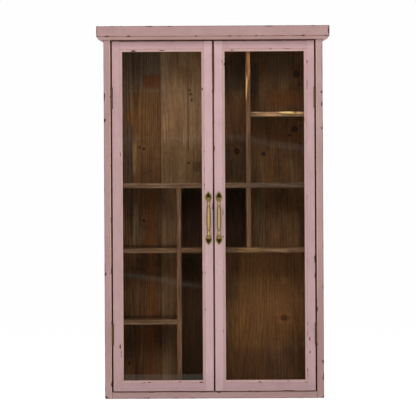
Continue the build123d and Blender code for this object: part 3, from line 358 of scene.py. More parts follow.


# The boards of the tongue and groove back. Knots, patches and the crack stand where the photograph shows them, and
# painted shade darkens the bay behind the meeting stiles and paints the shadows under the shelves.
# knots: x, z, half width, half height, darkness. patches: x, z, half width, half height, tone, strength.
# cracks: x, lower end, upper end, width. painted shade boxes: left, right, foot, head, factor
backWood = {
    "axes": "ZXY",
    "warp": 0.006,
    "pithDepth": 0.03,
    "taper": 0.03,
    "ringWidth": 0.0060,
    "ringContrast": 0.5,
    "warmth": 0.35,
    "dark": "#5f3d26",
    "pale": "#895e3c",
    "warm": "#8e5224",
    "late": "#43240f",
    "halo": "#74431f",
    "haloStrength": 0.5,
    "haloReach": 2.3,
    "knot": "#1f0e07",
    "knotReach": 4.0,
    "knotSqueeze": 0.85,
    "patchShift": (0.006, 0.0, 0.014),
    "patchSoft": 0.3,
    "paintedShadeSoft": 0.006,
    "shownDepth": 0.066,
}
backBoards = {
    "back_board_1": {
        "seed": 1.0,
        "pith": -0.21,
        "ringWidth": 0.0040,
        "warp": 0.003,
        "taper": 0.008,
        "ringContrast": 0.55,
        "knots": (
            (-0.189, 0.674, 0.0042, 0.004, 0.9),
            (-0.2005, 0.678, 0.0025, 0.003, 0.9),
            (-0.1915, 0.478, 0.0055, 0.0045, 0.9),
            (-0.232, 0.089, 0.004, 0.006, 0.9),
        ),
        "paintedShade": ((-0.300, -0.142, 0.403, 0.411, 0.3), (-0.300, -0.142, 0.211, 0.219, 0.35)),
        "patches": (
            (-0.186, 0.760, 0.034, 0.100, "#8a5a31", 0.70),
            (-0.205, 0.900, 0.080, 0.060, "#7a6150", 0.75),
            (-0.243, 0.790, 0.018, 0.260, "#7a5b49", 0.75),
            (-0.166, 0.8560, 0.0235, 0.0185, "#7d4424", 0.95),
            (-0.222, 0.760, 0.016, 0.022, "#94572a", 0.55),
            (-0.2150, 0.648, 0.0055, 0.042, "#a8825c", 0.80),
            (-0.2130, 0.476, 0.0065, 0.048, "#957557", 0.75),
            (-0.172, 0.290, 0.012, 0.270, "#8c4c22", 0.65),
        ),
    },
    "back_board_2": {
        "seed": 2.0,
        "pith": -0.09,
        "ringWidth": 0.0085,
        "ringContrast": 0.22,
        "warp": 0.008,
        "pale": "#ab7d5b",
        "dark": "#8f6245",
        "warm": "#9c6838",
        "late": "#654026",
        "knots": (
            (-0.0635, 0.833, 0.0022, 0.003, 0.9),
            (-0.0610, 0.822, 0.003, 0.003, 0.9),
            (-0.0590, 0.806, 0.0022, 0.003, 0.9),
            (-0.0680, 0.635, 0.004, 0.003, 0.9),
        ),
        "cracks": ((-0.0700, 0.655, 0.862, 0.0021),),
        "patches": (
            (-0.132, 0.870, 0.014, 0.080, "#a07c62", 0.5),
            (-0.045, 0.770, 0.040, 0.080, "#b08460", 0.6),
            (-0.090, 0.635, 0.060, 0.050, "#86603f", 0.6),
            (-0.155, 0.650, 0.008, 0.022, "#b08c6a", 0.5),
            (-0.044, 0.625, 0.012, 0.014, "#5e3c28", 0.6),
            (-0.132, 0.330, 0.014, 0.180, "#85603f", 0.6),
            (-0.050, 0.485, 0.045, 0.075, "#814a26", 0.8),
            (-0.060, 0.200, 0.045, 0.195, "#804f26", 0.8),
        ),
        "paintedShade": (
            (-0.088, 0.010, 0.404, 0.566, 0.28),
            (-0.088, 0.010, 0.000, 0.391, 0.30),
            (-0.142, -0.100, 0.403, 0.411, 0.3),
            (-0.142, -0.100, 0.211, 0.219, 0.35),
            (-0.142, -0.100, 0.000, 0.197, 0.88),
        ),
    },
    "back_board_3": {
        "seed": 3.0,
        "pith": 0.062,
        "taper": 0.06,
        "ringWidth": 0.0075,
        "ringContrast": 0.28,
        "knots": ((0.0645, 0.666, 0.009, 0.010, 0.9), (0.137, 0.658, 0.0075, 0.0060, 0.95)),
        "patches": (
            (0.060, 0.745, 0.055, 0.070, "#744528", 0.65),
            (0.060, 0.880, 0.040, 0.050, "#4a3c33", 0.55),
            (0.112, 0.862, 0.012, 0.045, "#3a281e", 0.65),
            (0.111, 0.800, 0.014, 0.038, "#3c281c", 0.40),
            (0.060, 0.640, 0.040, 0.055, "#4d3728", 0.60),
            (0.105, 0.210, 0.055, 0.190, "#8b5728", 0.60),
            (0.042, 0.335, 0.027, 0.085, "#3a2718", 0.50),
            (0.105, 0.080, 0.060, 0.045, "#5e3526", 0.45),
            (0.128, 0.490, 0.012, 0.080, "#75604a", 0.50),
        ),
        "paintedShade": ((-0.010, 0.088, 0.404, 0.566, 0.33),),
    },
    "back_board_4": {
        "seed": 4.0,
        "pith": 0.235,
        "ringWidth": 0.0065,
        "ringContrast": 0.28,
        "knots": (
            (0.2275, 0.875, 0.0100, 0.0110, 0.9),
            (0.2225, 0.725, 0.0090, 0.0090, 0.9),
            (0.2090, 0.709, 0.0040, 0.0040, 0.9),
            (0.1905, 0.211, 0.0115, 0.0085, 0.65),
        ),
        "patches": (
            (0.215, 0.806, 0.062, 0.020, "#854a22", 0.75),
            (0.180, 0.900, 0.030, 0.045, "#75573f", 0.6),
            (0.215, 0.702, 0.050, 0.012, "#7c421f", 0.65),
            (0.1915, 0.312, 0.011, 0.008, "#96694a", 0.7),
            (0.185, 0.270, 0.060, 0.130, "#8a5426", 0.50),
            (0.1905, 0.211, 0.0190, 0.0150, "#a8693a", 0.7),
            (0.205, 0.080, 0.080, 0.045, "#5e3526", 0.45),
            (0.252, 0.450, 0.016, 0.050, "#3a2418", 0.55),
        ),
    },
}
for piece, board in backBoards.items():
    dress(piece, stainedPine("stained_pine_" + piece, {**backWood, **board}))

# Shelves and dividers: their front edges are rubbed paler and greyer than their faces.
# rubs: x, z, half width, half height, tone, strength
shelfWood = {
    **backWood,
    "axes": "XYZ",
    "warp": 0.010,
    "pithDepth": -0.03,
    "pith": 0.02,
    "ringWidth": 0.0050,
    "ringContrast": 0.4,
    "warmth": 0.4,
    "knots": (),
    "frontY": -0.0500,
    "rubDepth": 0.0025,
}
shelfBoards = {
    "shelf_upper": {
        "seed": 11.0,
        "worn": "#7f5d4a",
        "rubsAndPaintedLight": ((0.190, 0.5725, 0.105, 0.020, "#5e463a", 0.9),),
    },
    "shelf_lower": {
        "seed": 12.0,
        "worn": "#75523c",
        "rubsAndPaintedLight": (
            (0.100, 0.3975, 0.050, 0.005, "#96683c", 0.6),
            (0.150, 0.3960, 0.070, 0.004, "#9a7456", 0.5),
        ),
    },
    "short_shelf_left": {"seed": 13.0, "worn": "#775440"},
    "short_shelf_right": {
        "seed": 14.0,
        "worn": "#8e6850",
        "rubsAndPaintedLight": (
            (0.140, 0.7655, 0.050, 0.005, "#c38d68", 0.9),
            (0.196, 0.7665, 0.017, 0.0042, "#f5c688", 1.0),
            (0.232, 0.7668, 0.008, 0.0030, "#dfaa70", 0.9),
        ),
    },
    "divider_left": {"seed": 15.0, "axes": "ZYX", "worn": "#785340"},
    "divider_right": {
        "seed": 16.0,
        "axes": "ZYX",
        "worn": "#77513b",
        "rubsAndPaintedLight": (
            (0.0935, 0.905, 0.0052, 0.060, "#bd7a4e", 0.9),
            (0.0905, 0.845, 0.0038, 0.030, "#e0a067", 1.0),
        ),
    },
}
for piece, board in shelfBoards.items():
    dress(piece, stainedPine("stained_pine_" + piece, {**shelfWood, **board}))
railWood = {**backWood, "axes": "XZY", "pith": 0.9, "knots": ()}
for piece, seed in (("head_rail", 21.0), ("rear_rail", 22.0)):
    dress(piece, stainedPine("stained_pine_" + piece, {**railWood, "seed": seed}))
print("stained boards done")

# The painted pieces: the carcass is a greyer pink than the doors, and the meeting stiles are the palest, as painted
# light where more light falls near the middle.
# scars: x, y, z, half width, half height. rubs, for worn paint and for painted light and shade: place, half size,
# tone, strength.
# gap and inside: corners of the boxes that take the gap tone, and that are left as bare wood
carcassPaint = {
    "axes": "ZXY",
    "pink": "#b79593",
    "shade": "#ac8b88",
    "rubbedAndSheen": "#805c4a",
    "bare": "#4b2614",
    "dirt": "#45200f",
    "gapTone": "#7e3822",
    "gapStrength": 0.85,
    "gapSoft": 0.0008,
    "grime": 0.45,
    "grimeWidth": 0.0011,
    "chipsPerMetre": 34.0,
    "chipFrom": 0.575,
    "chipReach": 0.0032,
    "scarDepth": 0.004,
    "thinWidth": 0.0024,
    "thinStrength": 0.75,
    "wood": {**backWood, "seed": 31.0, "axes": "ZYX", "pith": 0.01, "pithDepth": -0.3, "knots": ()},
}
doorPaint = {
    **carcassPaint,
    "pink": "#c5a1a3",
    "shade": "#bb989a",
    # partly painted highlight: the pale peach of the door's thinned edges
    "rubbedAndSheen": "#d0aa94",
    "chipFrom": 0.61,
    "chipReach": 0.0022,
    "thinStrength": 0.5,
    "grime": 0.5,
    "gap": ((-far, -0.0736, -far), (far, -0.0565, far)),
    "gapTone": "#76301e",
    "paintedShadeLevels": ((0.9425, 0.9585, 1.0, 0.66), (0.03, 0.085, 0.86, 1.0)),  # two heights and their shades
}
# painted light: the beads are a lighter pink than the doors, against the shade on their slopes
beadPaint = {
    **doorPaint,
    "pink": "#cdaaa5",
    "shade": "#c3a09a",
    "rubbedAndSheen": "#c9a591",
    "chipFrom": 0.60,
    "chipReach": 0.0020,
    "scarDepth": 0.009,
    "thinWidth": 0.0022,
    "grime": 0.12,
    "gap": None,
}
lyingWood = {**carcassPaint["wood"], "axes": "XYZ"}
backOnly = ((-far, 0.0747, -far), (far, far, far))  # the raw rear edges
carcassPieces = {
    "left_side": {
        "seed": 1.0,
        "gap": ((-0.2900, -0.0736, -far), (far, -0.0565, far)),
        "rubsAndPaintedLight": (((-0.2768, -0.075, 0.490), (0.0013, 0.002, 0.60), "#d6b49c", 0.8),),
        "inside": (((-0.2759, -0.0542, -far), (far, far, far)), backOnly),
        "scars": (
            (-0.2942, -0.075, 0.885, 0.0012, 0.020),
            (-0.2940, -0.075, 0.812, 0.0048, 0.010),
            (-0.2940, -0.075, 0.747, 0.0052, 0.005),
            (-0.2942, -0.075, 0.353, 0.0026, 0.012),
            (-0.2935, -0.075, 0.335, 0.0042, 0.005),
            (-0.2940, -0.075, 0.119, 0.0020, 0.003),
            (-0.2935, -0.075, 0.003, 0.0060, 0.006),
        ),
    },
    "right_side": {
        "seed": 2.0,
        "gap": ((-far, -0.0736, -far), (0.2900, -0.0565, far)),
        "pink": "#bb9997",
        "shade": "#b08f8c",
        "rubsAndPaintedLight": (
            ((0.2768, -0.075, 0.490), (0.0013, 0.002, 0.60), "#d6b49c", 0.8),
            # painted shade: the foot of the side is darker, where less light reaches
            ((0.2850, -0.075, 0.050), (0.0500, 0.020, 0.26), "#a07e79", 0.6),
        ),
        "inside": (((-far, -0.0542, -far), (0.2759, far, far)), backOnly),
        "scars": (
            (0.2942, -0.075, 0.885, 0.0018, 0.025),
            (0.2940, -0.075, 0.822, 0.0052, 0.005),
            (0.2940, -0.075, 0.790, 0.0048, 0.006),
            (0.2938, -0.075, 0.724, 0.0052, 0.004),
            (0.2942, -0.075, 0.660, 0.0018, 0.032),
            (0.2940, -0.075, 0.098, 0.0060, 0.005),
            (0.2940, -0.075, 0.052, 0.0046, 0.005),
            (0.2935, -0.075, 0.002, 0.0050, 0.005),
        ),
    },
    "bottom_board": {
        "axes": "XZY",
        "seed": 3.0,
        "gap": ((-far, -0.0736, 0.0100), (far, -0.0565, far)),
        # painted light: the bottom board's top under the doors is a light pink, against the shade of the gap
        "gapTone": "#d8ae9e",
        "grime": 0.15,
        # painted shade: the bottom board is a darker pink, where less light reaches near the floor
        "pink": "#ae8e8b",
        "shade": "#a58582",
        "wood": lyingWood,
        "inside": (((-far, -0.0542, 0.0176), (far, far, far)),),
        "scars": ((-0.205, -0.075, 0.0, 0.006, 0.0012), (-0.085, -0.075, 0.0, 0.005, 0.0010)),
    },
    "top_board": {
        "axes": "XZY",
        "seed": 4.0,
        "wood": lyingWood,
        "inside": (((-far, -far, -far), (far, far, 0.9995)),),
    },
    "cornice_front": {
        "axes": "XZY",
        "seed": 5.0,
        "chipFrom": 0.60,
        "lines": ((("Y", -0.0935), ("Z", 0.9720)),),
        "rubsAndPaintedLight": (
            # painted light: the chamfer under the fascia is paler, as if lit from below, and a thin dark line under it
            # is painted shade in the head gap
            ((0.0, -0.085, 0.9618), (0.60, 0.03, 0.0098), "#c8a294", 0.35),
            ((0.0, -0.080, 0.9630), (0.60, 0.006, 0.0012), "#5a3228", 0.60),
        ),
        "scars": (
            (-0.283, -0.0935, 0.9720, 0.0040, 0.0011),
            (-0.226, -0.0935, 0.9722, 0.0042, 0.0022),
            (-0.045, -0.0935, 0.9722, 0.0036, 0.0017),
            (0.071, -0.0935, 0.9720, 0.0050, 0.0010),
            (0.116, -0.0935, 0.9726, 0.0040, 0.0013),
            (0.134, -0.0935, 0.9720, 0.0070, 0.0008),
            (0.241, -0.0935, 0.9728, 0.0060, 0.0022),
            (0.302, -0.0935, 0.9722, 0.0040, 0.0012),
            (-0.271, -0.0935, 1.0, 0.0050, 0.0021),
            (-0.250, -0.0935, 1.0, 0.0080, 0.0010),
            (-0.171, -0.0935, 1.0, 0.0120, 0.0027),
            (-0.115, -0.0935, 1.0, 0.0070, 0.0021),
            (-0.070, -0.0935, 1.0, 0.0060, 0.0010),
            (-0.028, -0.0935, 1.0, 0.0080, 0.0011),
            (0.095, -0.0935, 1.0, 0.0050, 0.0012),
            (0.151, -0.0935, 1.0, 0.0130, 0.0029),
            (0.202, -0.0935, 1.0, 0.0050, 0.0011),
            (0.269, -0.0935, 1.0, 0.0060, 0.0019),
            (0.3125, -0.0935, 0.986, 0.0040, 0.0140),
            (-0.3125, -0.0935, 0.999, 0.0050, 0.0030),
            (-0.3125, -0.0935, 0.971, 0.0045, 0.0040),
            (-0.3125, -0.0935, 0.985, 0.0026, 0.0100),
            (0.3125, -0.0935, 0.971, 0.0040, 0.0040),
            (0.3115, -0.0935, 1.0, 0.0040, 0.0016),
        ),
    },
    "cornice_left": {"axes": "YZX", "seed": 6.0, "lines": ((("X", -0.3125), ("Z", 0.9720)),)},
    "cornice_right": {"axes": "YZX", "seed": 7.0, "lines": ((("X", 0.3125), ("Z", 0.9720)),)},
}
paintedPieces = {piece: {**carcassPaint, **changes} for piece, changes in carcassPieces.items()}
doorBoards = ("hinge_stile", "meeting_stile", "top_rail", "bottom_rail")  # two upright and two lying, as the beads
doorBeads = ("hinge_bead", "meeting_bead", "top_bead", "bottom_bead")
for side, hand in hands:
    for parts, paint, firstSeed in ((doorBoards, doorPaint, 20), (doorBeads, beadPaint, 30)):
        for number, part in enumerate(parts):
            axes = "ZXY" if number < 2 else "XZY"
            paintedPieces[f"{side}_{part}"] = {**paint, "axes": axes, "seed": firstSeed + hand * 4 + number}
    # painted light: the meeting stiles are paler, where more light falls near the middle, and the bottom beads paler
    # still, as their slopes face up to the light
    paintedPieces[f"{side}_meeting_stile"].update(pink="#d1aeb0", shade="#c8a5a8")
    paintedPieces[f"{side}_bottom_bead"].update(pink="#deb9b4", shade="#d4ada8")
    paintedPieces[f"{side}_bottom_rail"].update(grime=0.1)
paintedPieces["right_hinge_stile"].update(pink="#c8a4a7", shade="#be9b9e")
doorScars = {
    "left_hinge_stile": ((-0.2525, -0.075, 0.140, 0.0024, 0.006),),
    "left_meeting_stile": (
        (-0.0236, -0.075, 0.239, 0.0014, 0.003),
        (-0.0238, -0.075, 0.337, 0.0010, 0.0025),
    ),
    "left_meeting_bead": (
        (-0.0290, -0.070, 0.831, 0.0014, 0.003),
        (-0.0300, -0.070, 0.337, 0.0014, 0.0025),
    ),
    "left_top_bead": (
        (-0.2140, -0.070, 0.934, 0.0060, 0.0020),
        (-0.1370, -0.070, 0.935, 0.0060, 0.0012),
    ),
    "left_bottom_bead": (
        (-0.176, -0.072, 0.0440, 0.0050, 0.0012),
        (-0.092, -0.070, 0.0450, 0.0040, 0.0012),
        (-0.036, -0.072, 0.0440, 0.0060, 0.0014),
    ),
    "right_hinge_stile": (
        (0.2560, -0.075, 0.160, 0.0015, 0.006),
        (0.2565, -0.075, 0.123, 0.0021, 0.003),
        (0.2710, -0.075, 0.373, 0.0022, 0.009),
        (0.2525, -0.075, 0.903, 0.0012, 0.004),
        (0.2525, -0.075, 0.842, 0.0007, 0.013),
    ),
    "right_meeting_bead": ((0.0300, -0.070, 0.898, 0.0014, 0.004),),
    "right_top_bead": (
        (0.051, -0.070, 0.9350, 0.0025, 0.0014),
        (0.155, -0.072, 0.9385, 0.0030, 0.0008),
    ),
    "right_bottom_bead": (
        (0.121, -0.070, 0.0455, 0.0032, 0.0012),
        (0.198, -0.070, 0.0460, 0.0030, 0.0010),
    ),
}
for piece, scars in doorScars.items():
    paintedPieces[piece]["scars"] = scars
doorRubsAndPaintedLight = {
    # painted shade: the top rails' dark line is the shade in the head gap under the cornice
    "left_top_rail": (((-0.148, -0.075, 0.9603), (0.6000, 0.004, 0.0014), "#4f2c22", 0.75),),
    "right_top_rail": (((0.148, -0.075, 0.9603), (0.6000, 0.004, 0.0014), "#4f2c22", 0.75),),
    "left_meeting_stile": (((-0.0020, -0.075, 0.900), (0.0016, 0.004, 0.060), "#8a5c38", 0.6),),
    "right_meeting_stile": (((0.0022, -0.075, 0.890), (0.0020, 0.004, 0.075), "#8f5f35", 0.9),),
    "right_hinge_bead": (((0.2450, -0.070, 0.748), (0.0020, 0.009, 0.005), "#a8783f", 0.8),),
    "right_top_bead": (((0.198, -0.072, 0.9380), (0.0130, 0.009, 0.0009), "#8e5545", 0.7),),
    "right_bottom_rail": (((0.198, -0.075, 0.0205), (0.0150, 0.004, 0.0012), "#6b4630", 0.9),),
    "left_bottom_rail": (((-0.120, -0.075, 0.0205), (0.0500, 0.004, 0.0008), "#8b6050", 0.6),),
}
for piece, rubsAndPaintedLight in doorRubsAndPaintedLight.items():
    paintedPieces[piece]["rubsAndPaintedLight"] = rubsAndPaintedLight
for piece, coat in paintedPieces.items():
    low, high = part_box(piece)
    dress(piece, chalkPaint("chalk_paint_" + piece, coat, tuple(low), tuple(high)))
print("painted pieces done")


# Float glass, old and not quite clean: clear, with a sharp reflection that grows towards a glancing view as
# 0.04 + 0.86 * facing ^ 5, a few faint smears, and dust along the foot of the pane
def floatGlass(name, pane):
    material, add, place = newMaterial(name)
    facing = add("LayerWeight", {"Blend": 0.5}).outputs["Facing"]
    steep = add("Math", (facing, 5.0), operation="POWER")
    gloss = add("MapRange", (steep, 0.0, 1.0, 0.04, 0.9))
    clear = add("BsdfTransparent", {"Color": pane["tint"]})
    mirror = add("BsdfGlossy", {"Color": "#ffffff", "Roughness": 0.03})
    sheet = add("MixShader", (gloss, clear, mirror))
    smear = stretchedNoise(add, place, (14.0, 1.0, 90.0), 3.0, 0.6)
    film = add("MapRange", (smear, 0.45, 0.75, 0.0, 1.0))
    haze = add("Math", (film, pane["film"]), operation="MULTIPLY")
    ragged = add("MapRange", (smear, 0.3, 0.7, -0.3, 0.3))
    axes = add("SeparateXYZ", place).outputs
    for x, z, halfWidth, halfHeight, lean, strength in pane["smears"]:
        offset = add("Math", (axes[0], x), operation="SUBTRACT")
        slope = add("Math", (offset, lean), operation="MULTIPLY")
        level = add("Math", (axes[2], slope), operation="SUBTRACT")
        levelled = add("CombineXYZ", (axes[0], axes[1], level))
        spot = softSpot(add, levelled, (x, 0.0, z), (halfWidth, 0.0, halfHeight), ragged, 0.7)
        share = add("Math", (spot, strength), operation="MULTIPLY")
        haze = add("Math", (haze, share), operation="ADD")
    foot = add("MapRange", (axes[2], pane["dustTop"] - 0.002, pane["dustTop"], pane["dust"], 0.0))
    haze = add("Math", (haze, foot), operation="ADD")
    dust = add("BsdfDiffuse", {"Color": pane["dustTone"]})
    return closeMaterial(material, add, add("MixShader", (haze, sheet, dust)))


# smears: x, z, half width, half height, rise per metre to the right, strength
pane = {"tint": "#f8fbf9", "film": 0.004, "dustTone": "#b5aea6", "dustTop": 0.066, "dust": 0.0}
leftPane = {
    **pane,
    "dust": 0.065,
    "smears": (
        (-0.16, 0.828, 0.07, 0.006, 0.0, 0.024),
        (-0.09, 0.698, 0.06, 0.006, -0.06, 0.040),
        (-0.225, 0.697, 0.03, 0.006, 0.0, 0.036),
        (-0.14, 0.318, 0.12, 0.007, -0.17, 0.036),
    ),
}
rightPane = {
    **pane,
    "smears": (
        (0.075, 0.700, 0.045, 0.009, -0.05, 0.024),
        (0.185, 0.679, 0.090, 0.009, -0.16, 0.026),
        (0.080, 0.300, 0.050, 0.003, 0.0, 0.020),
    ),
}
dress("left_glass", floatGlass("float_glass_left", leftPane))
dress("right_glass", floatGlass("float_glass_right", rightPane))


# Cast brass with an antique finish: metal, brown-black in the hollows and polished by hands on the high places. The
# piece's own polish attribute says how high a place is, with painted highlight where it faces the front and painted
# shade on the grip's sides and the plates' outer bevels, and a fine noise makes the line between the two uneven
def antiqueBrass(name, brass):
    material, add, place = newMaterial(name)
    polish = add("Attribute", attribute_name="polish").outputs["Fac"]
    blotch = add("TexNoise", {"Vector": place, "Scale": 320.0, "Detail": 4.0, "Roughness": 0.6})
    uneven = add("MapRange", (blotch, 0.3, 0.7, -0.16, 0.16))
    level = add("Math", (polish, uneven), operation="ADD")
    stops = ((0.0, brass["hollow"]), (0.3, brass["patina"]), (0.65, brass["metal"]), (1.0, brass["bright"]))
    colour = add("ValToRGB", level, stops=stops)
    rough = add("MapRange", (level, 0.1, 1.0, 0.8, 0.36))
    shine = add("MapRange", (level, 0.1, 0.8, 0.0, 0.45))
    bump = add("Bump", {"Strength": 0.3, "Distance": 0.0002, "Height": blotch})
    dull = add("MapRange", (level, 0.0, 0.5, 0.05, 0.5))
    inputs = {"Base Color": colour, "Metallic": shine, "Roughness": rough, "Normal": bump, "Specular IOR Level": dull}
    return closeMaterial(material, add, add("BsdfPrincipled", inputs))


# Pressed brass hinges and screws under a dark brown patina, rubbed a little on what stands furthest forward
def patinatedBrass(name, brass):
    material, add, place = newMaterial(name)
    blotch = add("TexNoise", {"Vector": place, "Scale": 140.0, "Detail": 4.0, "Roughness": 0.6})
    axes = add("SeparateXYZ", place).outputs
    knuckle = add("MapRange", (axes[1], brass["rubbedTo"], brass["rubbedFrom"], 0.35, 0.0))
    level = add("Math", (blotch, knuckle), operation="ADD")
    stops = ((0.3, brass["hollow"]), (0.55, brass["patina"]), (0.85, brass["metal"]))
    colour = add("ValToRGB", level, stops=stops)
    rough = add("MapRange", (blotch, 0.3, 0.7, 0.42, 0.62))
    bump = add("Bump", {"Strength": 0.25, "Distance": 0.0002, "Height": blotch})
    inputs = {"Base Color": colour, "Metallic": 0.8, "Roughness": rough, "Normal": bump}
    return closeMaterial(material, add, add("BsdfPrincipled", inputs))


# Small hidden parts: one noise moves the colour between two tones, the roughness by 0.08 each way, and the bump
def plainSurface(name, look):
    material, add, place = newMaterial(name)
    speckle = stretchedNoise(add, place, look["grains"], 4.0, 0.6)
    share = add("MapRange", (speckle, 0.35, 0.65, 0.0, 1.0))
    colour = add("Mix", {0: share, 6: look["dark"], 7: look["pale"]}, data_type="RGBA")
    rough = add("MapRange", (speckle, 0.35, 0.65, look["rough"] - 0.08, look["rough"] + 0.08))
    bump = add("Bump", {"Strength": look["relief"], "Distance": 0.0002, "Height": speckle})
    inputs = {"Base Color": colour, "Metallic": look["metallic"], "Roughness": rough, "Normal": bump}
    return closeMaterial(material, add, add("BsdfPrincipled", inputs))


brassTones = {"hollow": "#140e08", "patina": "#6a582f", "metal": "#a88b4e", "bright": "#d8b878"}
rubbing = {"rubbedFrom": -0.0755, "rubbedTo": -0.0788}  # depths between which the wear grows towards the front
hingeTones = {**rubbing, "hollow": "#140c06", "patina": "#3d2b19", "metal": "#64502f"}
screwTones = {**rubbing, "hollow": "#0d0905", "patina": "#221a0f", "metal": "#4c3f28"}
pullBrass = antiqueBrass("cast_brass_antiqued", brassTones)
hingeBrass = patinatedBrass("pressed_brass_patinated", hingeTones)
blackenedBrass = patinatedBrass("turned_brass_blackened", screwTones)
dress("hinge_pins", hingeBrass)
for side, hand in hands:
    dress(f"{side}_hinge_frame_leaves", hingeBrass)
    dress(f"{side}_hinge_door_leaves", hingeBrass)

# Zinc plated steel is dull grey with a faint bloom, turned beech pale and close grained, moulded nylon brown, and
# ground ferrite nearly black. Grains are cycles a metre along X, Y and Z
steelLook = {
    "grains": (260.0, 260.0, 260.0),
    "dark": "#6e6d69",
    "pale": "#8e8d88",
    "rough": 0.46,
    "metallic": 0.9,
    "relief": 0.12,
}
beechLook = {
    "grains": (500.0, 500.0, 50.0),
    "dark": "#a97f55",
    "pale": "#caa077",
    "rough": 0.6,
    "metallic": 0.0,
    "relief": 0.2,
}
nylonLook = {
    "grains": (900.0, 900.0, 900.0),
    "dark": "#33200f",
    "pale": "#3d2815",
    "rough": 0.45,
    "metallic": 0.0,
    "relief": 0.1,
}
ferriteLook = {
    "grains": (1200.0, 1200.0, 1200.0),
    "dark": "#262626",
    "pale": "#3a3a3b",
    "rough": 0.5,
    "metallic": 0.3,
    "relief": 0.15,
}
zincSteel = plainSurface("zinc_plated_steel", steelLook)
for piece in ("hanger_plates", "left_strike_plate", "right_strike_plate", "back_nails", "catch_screws"):
    dress(piece, zincSteel)
dress("carcass_dowels", plainSurface("turned_beech", beechLook))
dress("catch_body", plainSurface("moulded_brown_nylon", nylonLook))
dress("catch_magnets", plainSurface("ground_ferrite", ferriteLook))
print("glass and metal done")


# The corner numbers of the quads of a grid of rows x columns points, counted from start
def gridQuads(rows, columns, start=0):
    index = np.arange(rows * columns).reshape(rows, columns) + start
    return np.stack((index[:-1, :-1], index[:-1, 1:], index[1:, 1:], index[1:, :-1]), axis=-1).reshape(-1, 4)


# Puts a mesh, a lamp or a camera into the scene
def intoScene(name, data):
    thing = bpy.data.objects.new(name, data)
    bpy.context.scene.collection.objects.link(thing)
    return thing


# Joins grids of points (rows x columns x 3) into one mesh of quads, welds what coincides, and turns its faces outwards.
# An edge sharper than the angle given, in radians, stays crisp
def surfacePiece(name, grids, material, body, replaced, polish=None, sharp=0.6):
    points, quads, start = [], [], 0
    for grid in grids:
        rows, columns = grid.shape[:2]
        quads.append(gridQuads(rows, columns, start))
        points.append(grid.reshape(-1, 3))
        start += rows * columns
    mesh = bpy.data.meshes.new(name)
    mesh.from_pydata(np.concatenate(points).tolist(), [], np.concatenate(quads).tolist())
    if polish is not None:
        layer = mesh.attributes.new("polish", "FLOAT", "POINT")
        layer.data.foreach_set("value", np.concatenate([p.reshape(-1) for p in polish]).astype(np.float32))
    work = bmesh.new()
    work.from_mesh(mesh)
    bmesh.ops.remove_doubles(work, verts=work.verts, dist=2e-6)
    bmesh.ops.recalc_face_normals(work, faces=work.faces)
    work.to_mesh(mesh)
    work.free()
    mesh.polygons.foreach_set("use_smooth", np.ones(len(mesh.polygons), bool))
    mesh.set_sharp_from_angle(angle=sharp)
    mesh.materials.append(material)
    piece = intoScene(name, mesh)
    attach(piece, body)
    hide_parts(replaced)


# Bow pull, cast in brass: a grip with a ridge down its front, a long collar at each end, and necks that curve down
pull = {
    "height": 0.484,
    "offset": 0.014,
    "doorFace": -0.075,
    "gripHalf": 0.0308,
    "gripWidth": 0.0114,
    "gripEndWidth": 0.0084,
    "gripThickness": 0.006,
    "gripProud": 0.021,
    "gripBow": 0.0018,
    "ridge": 1.38,
    "gripEnd": 0.0003,  # from the grip's last section to the collar's first
    "collarReach": 0.0388,
    "collarLength": 0.009,
    "collarWidth": 0.0087,
    "neckWidth": 0.0070,
    "neckThickness": 0.0052,
    "footReach": 0.051,
    "footRadius": 0.0044,
    "footFlare": 0.0035,
    "fieldProud": 0.0012,
    "gripRows": 34,
    "collarRows": 30,
    "neckRows": 26,
    "around": 48,
}
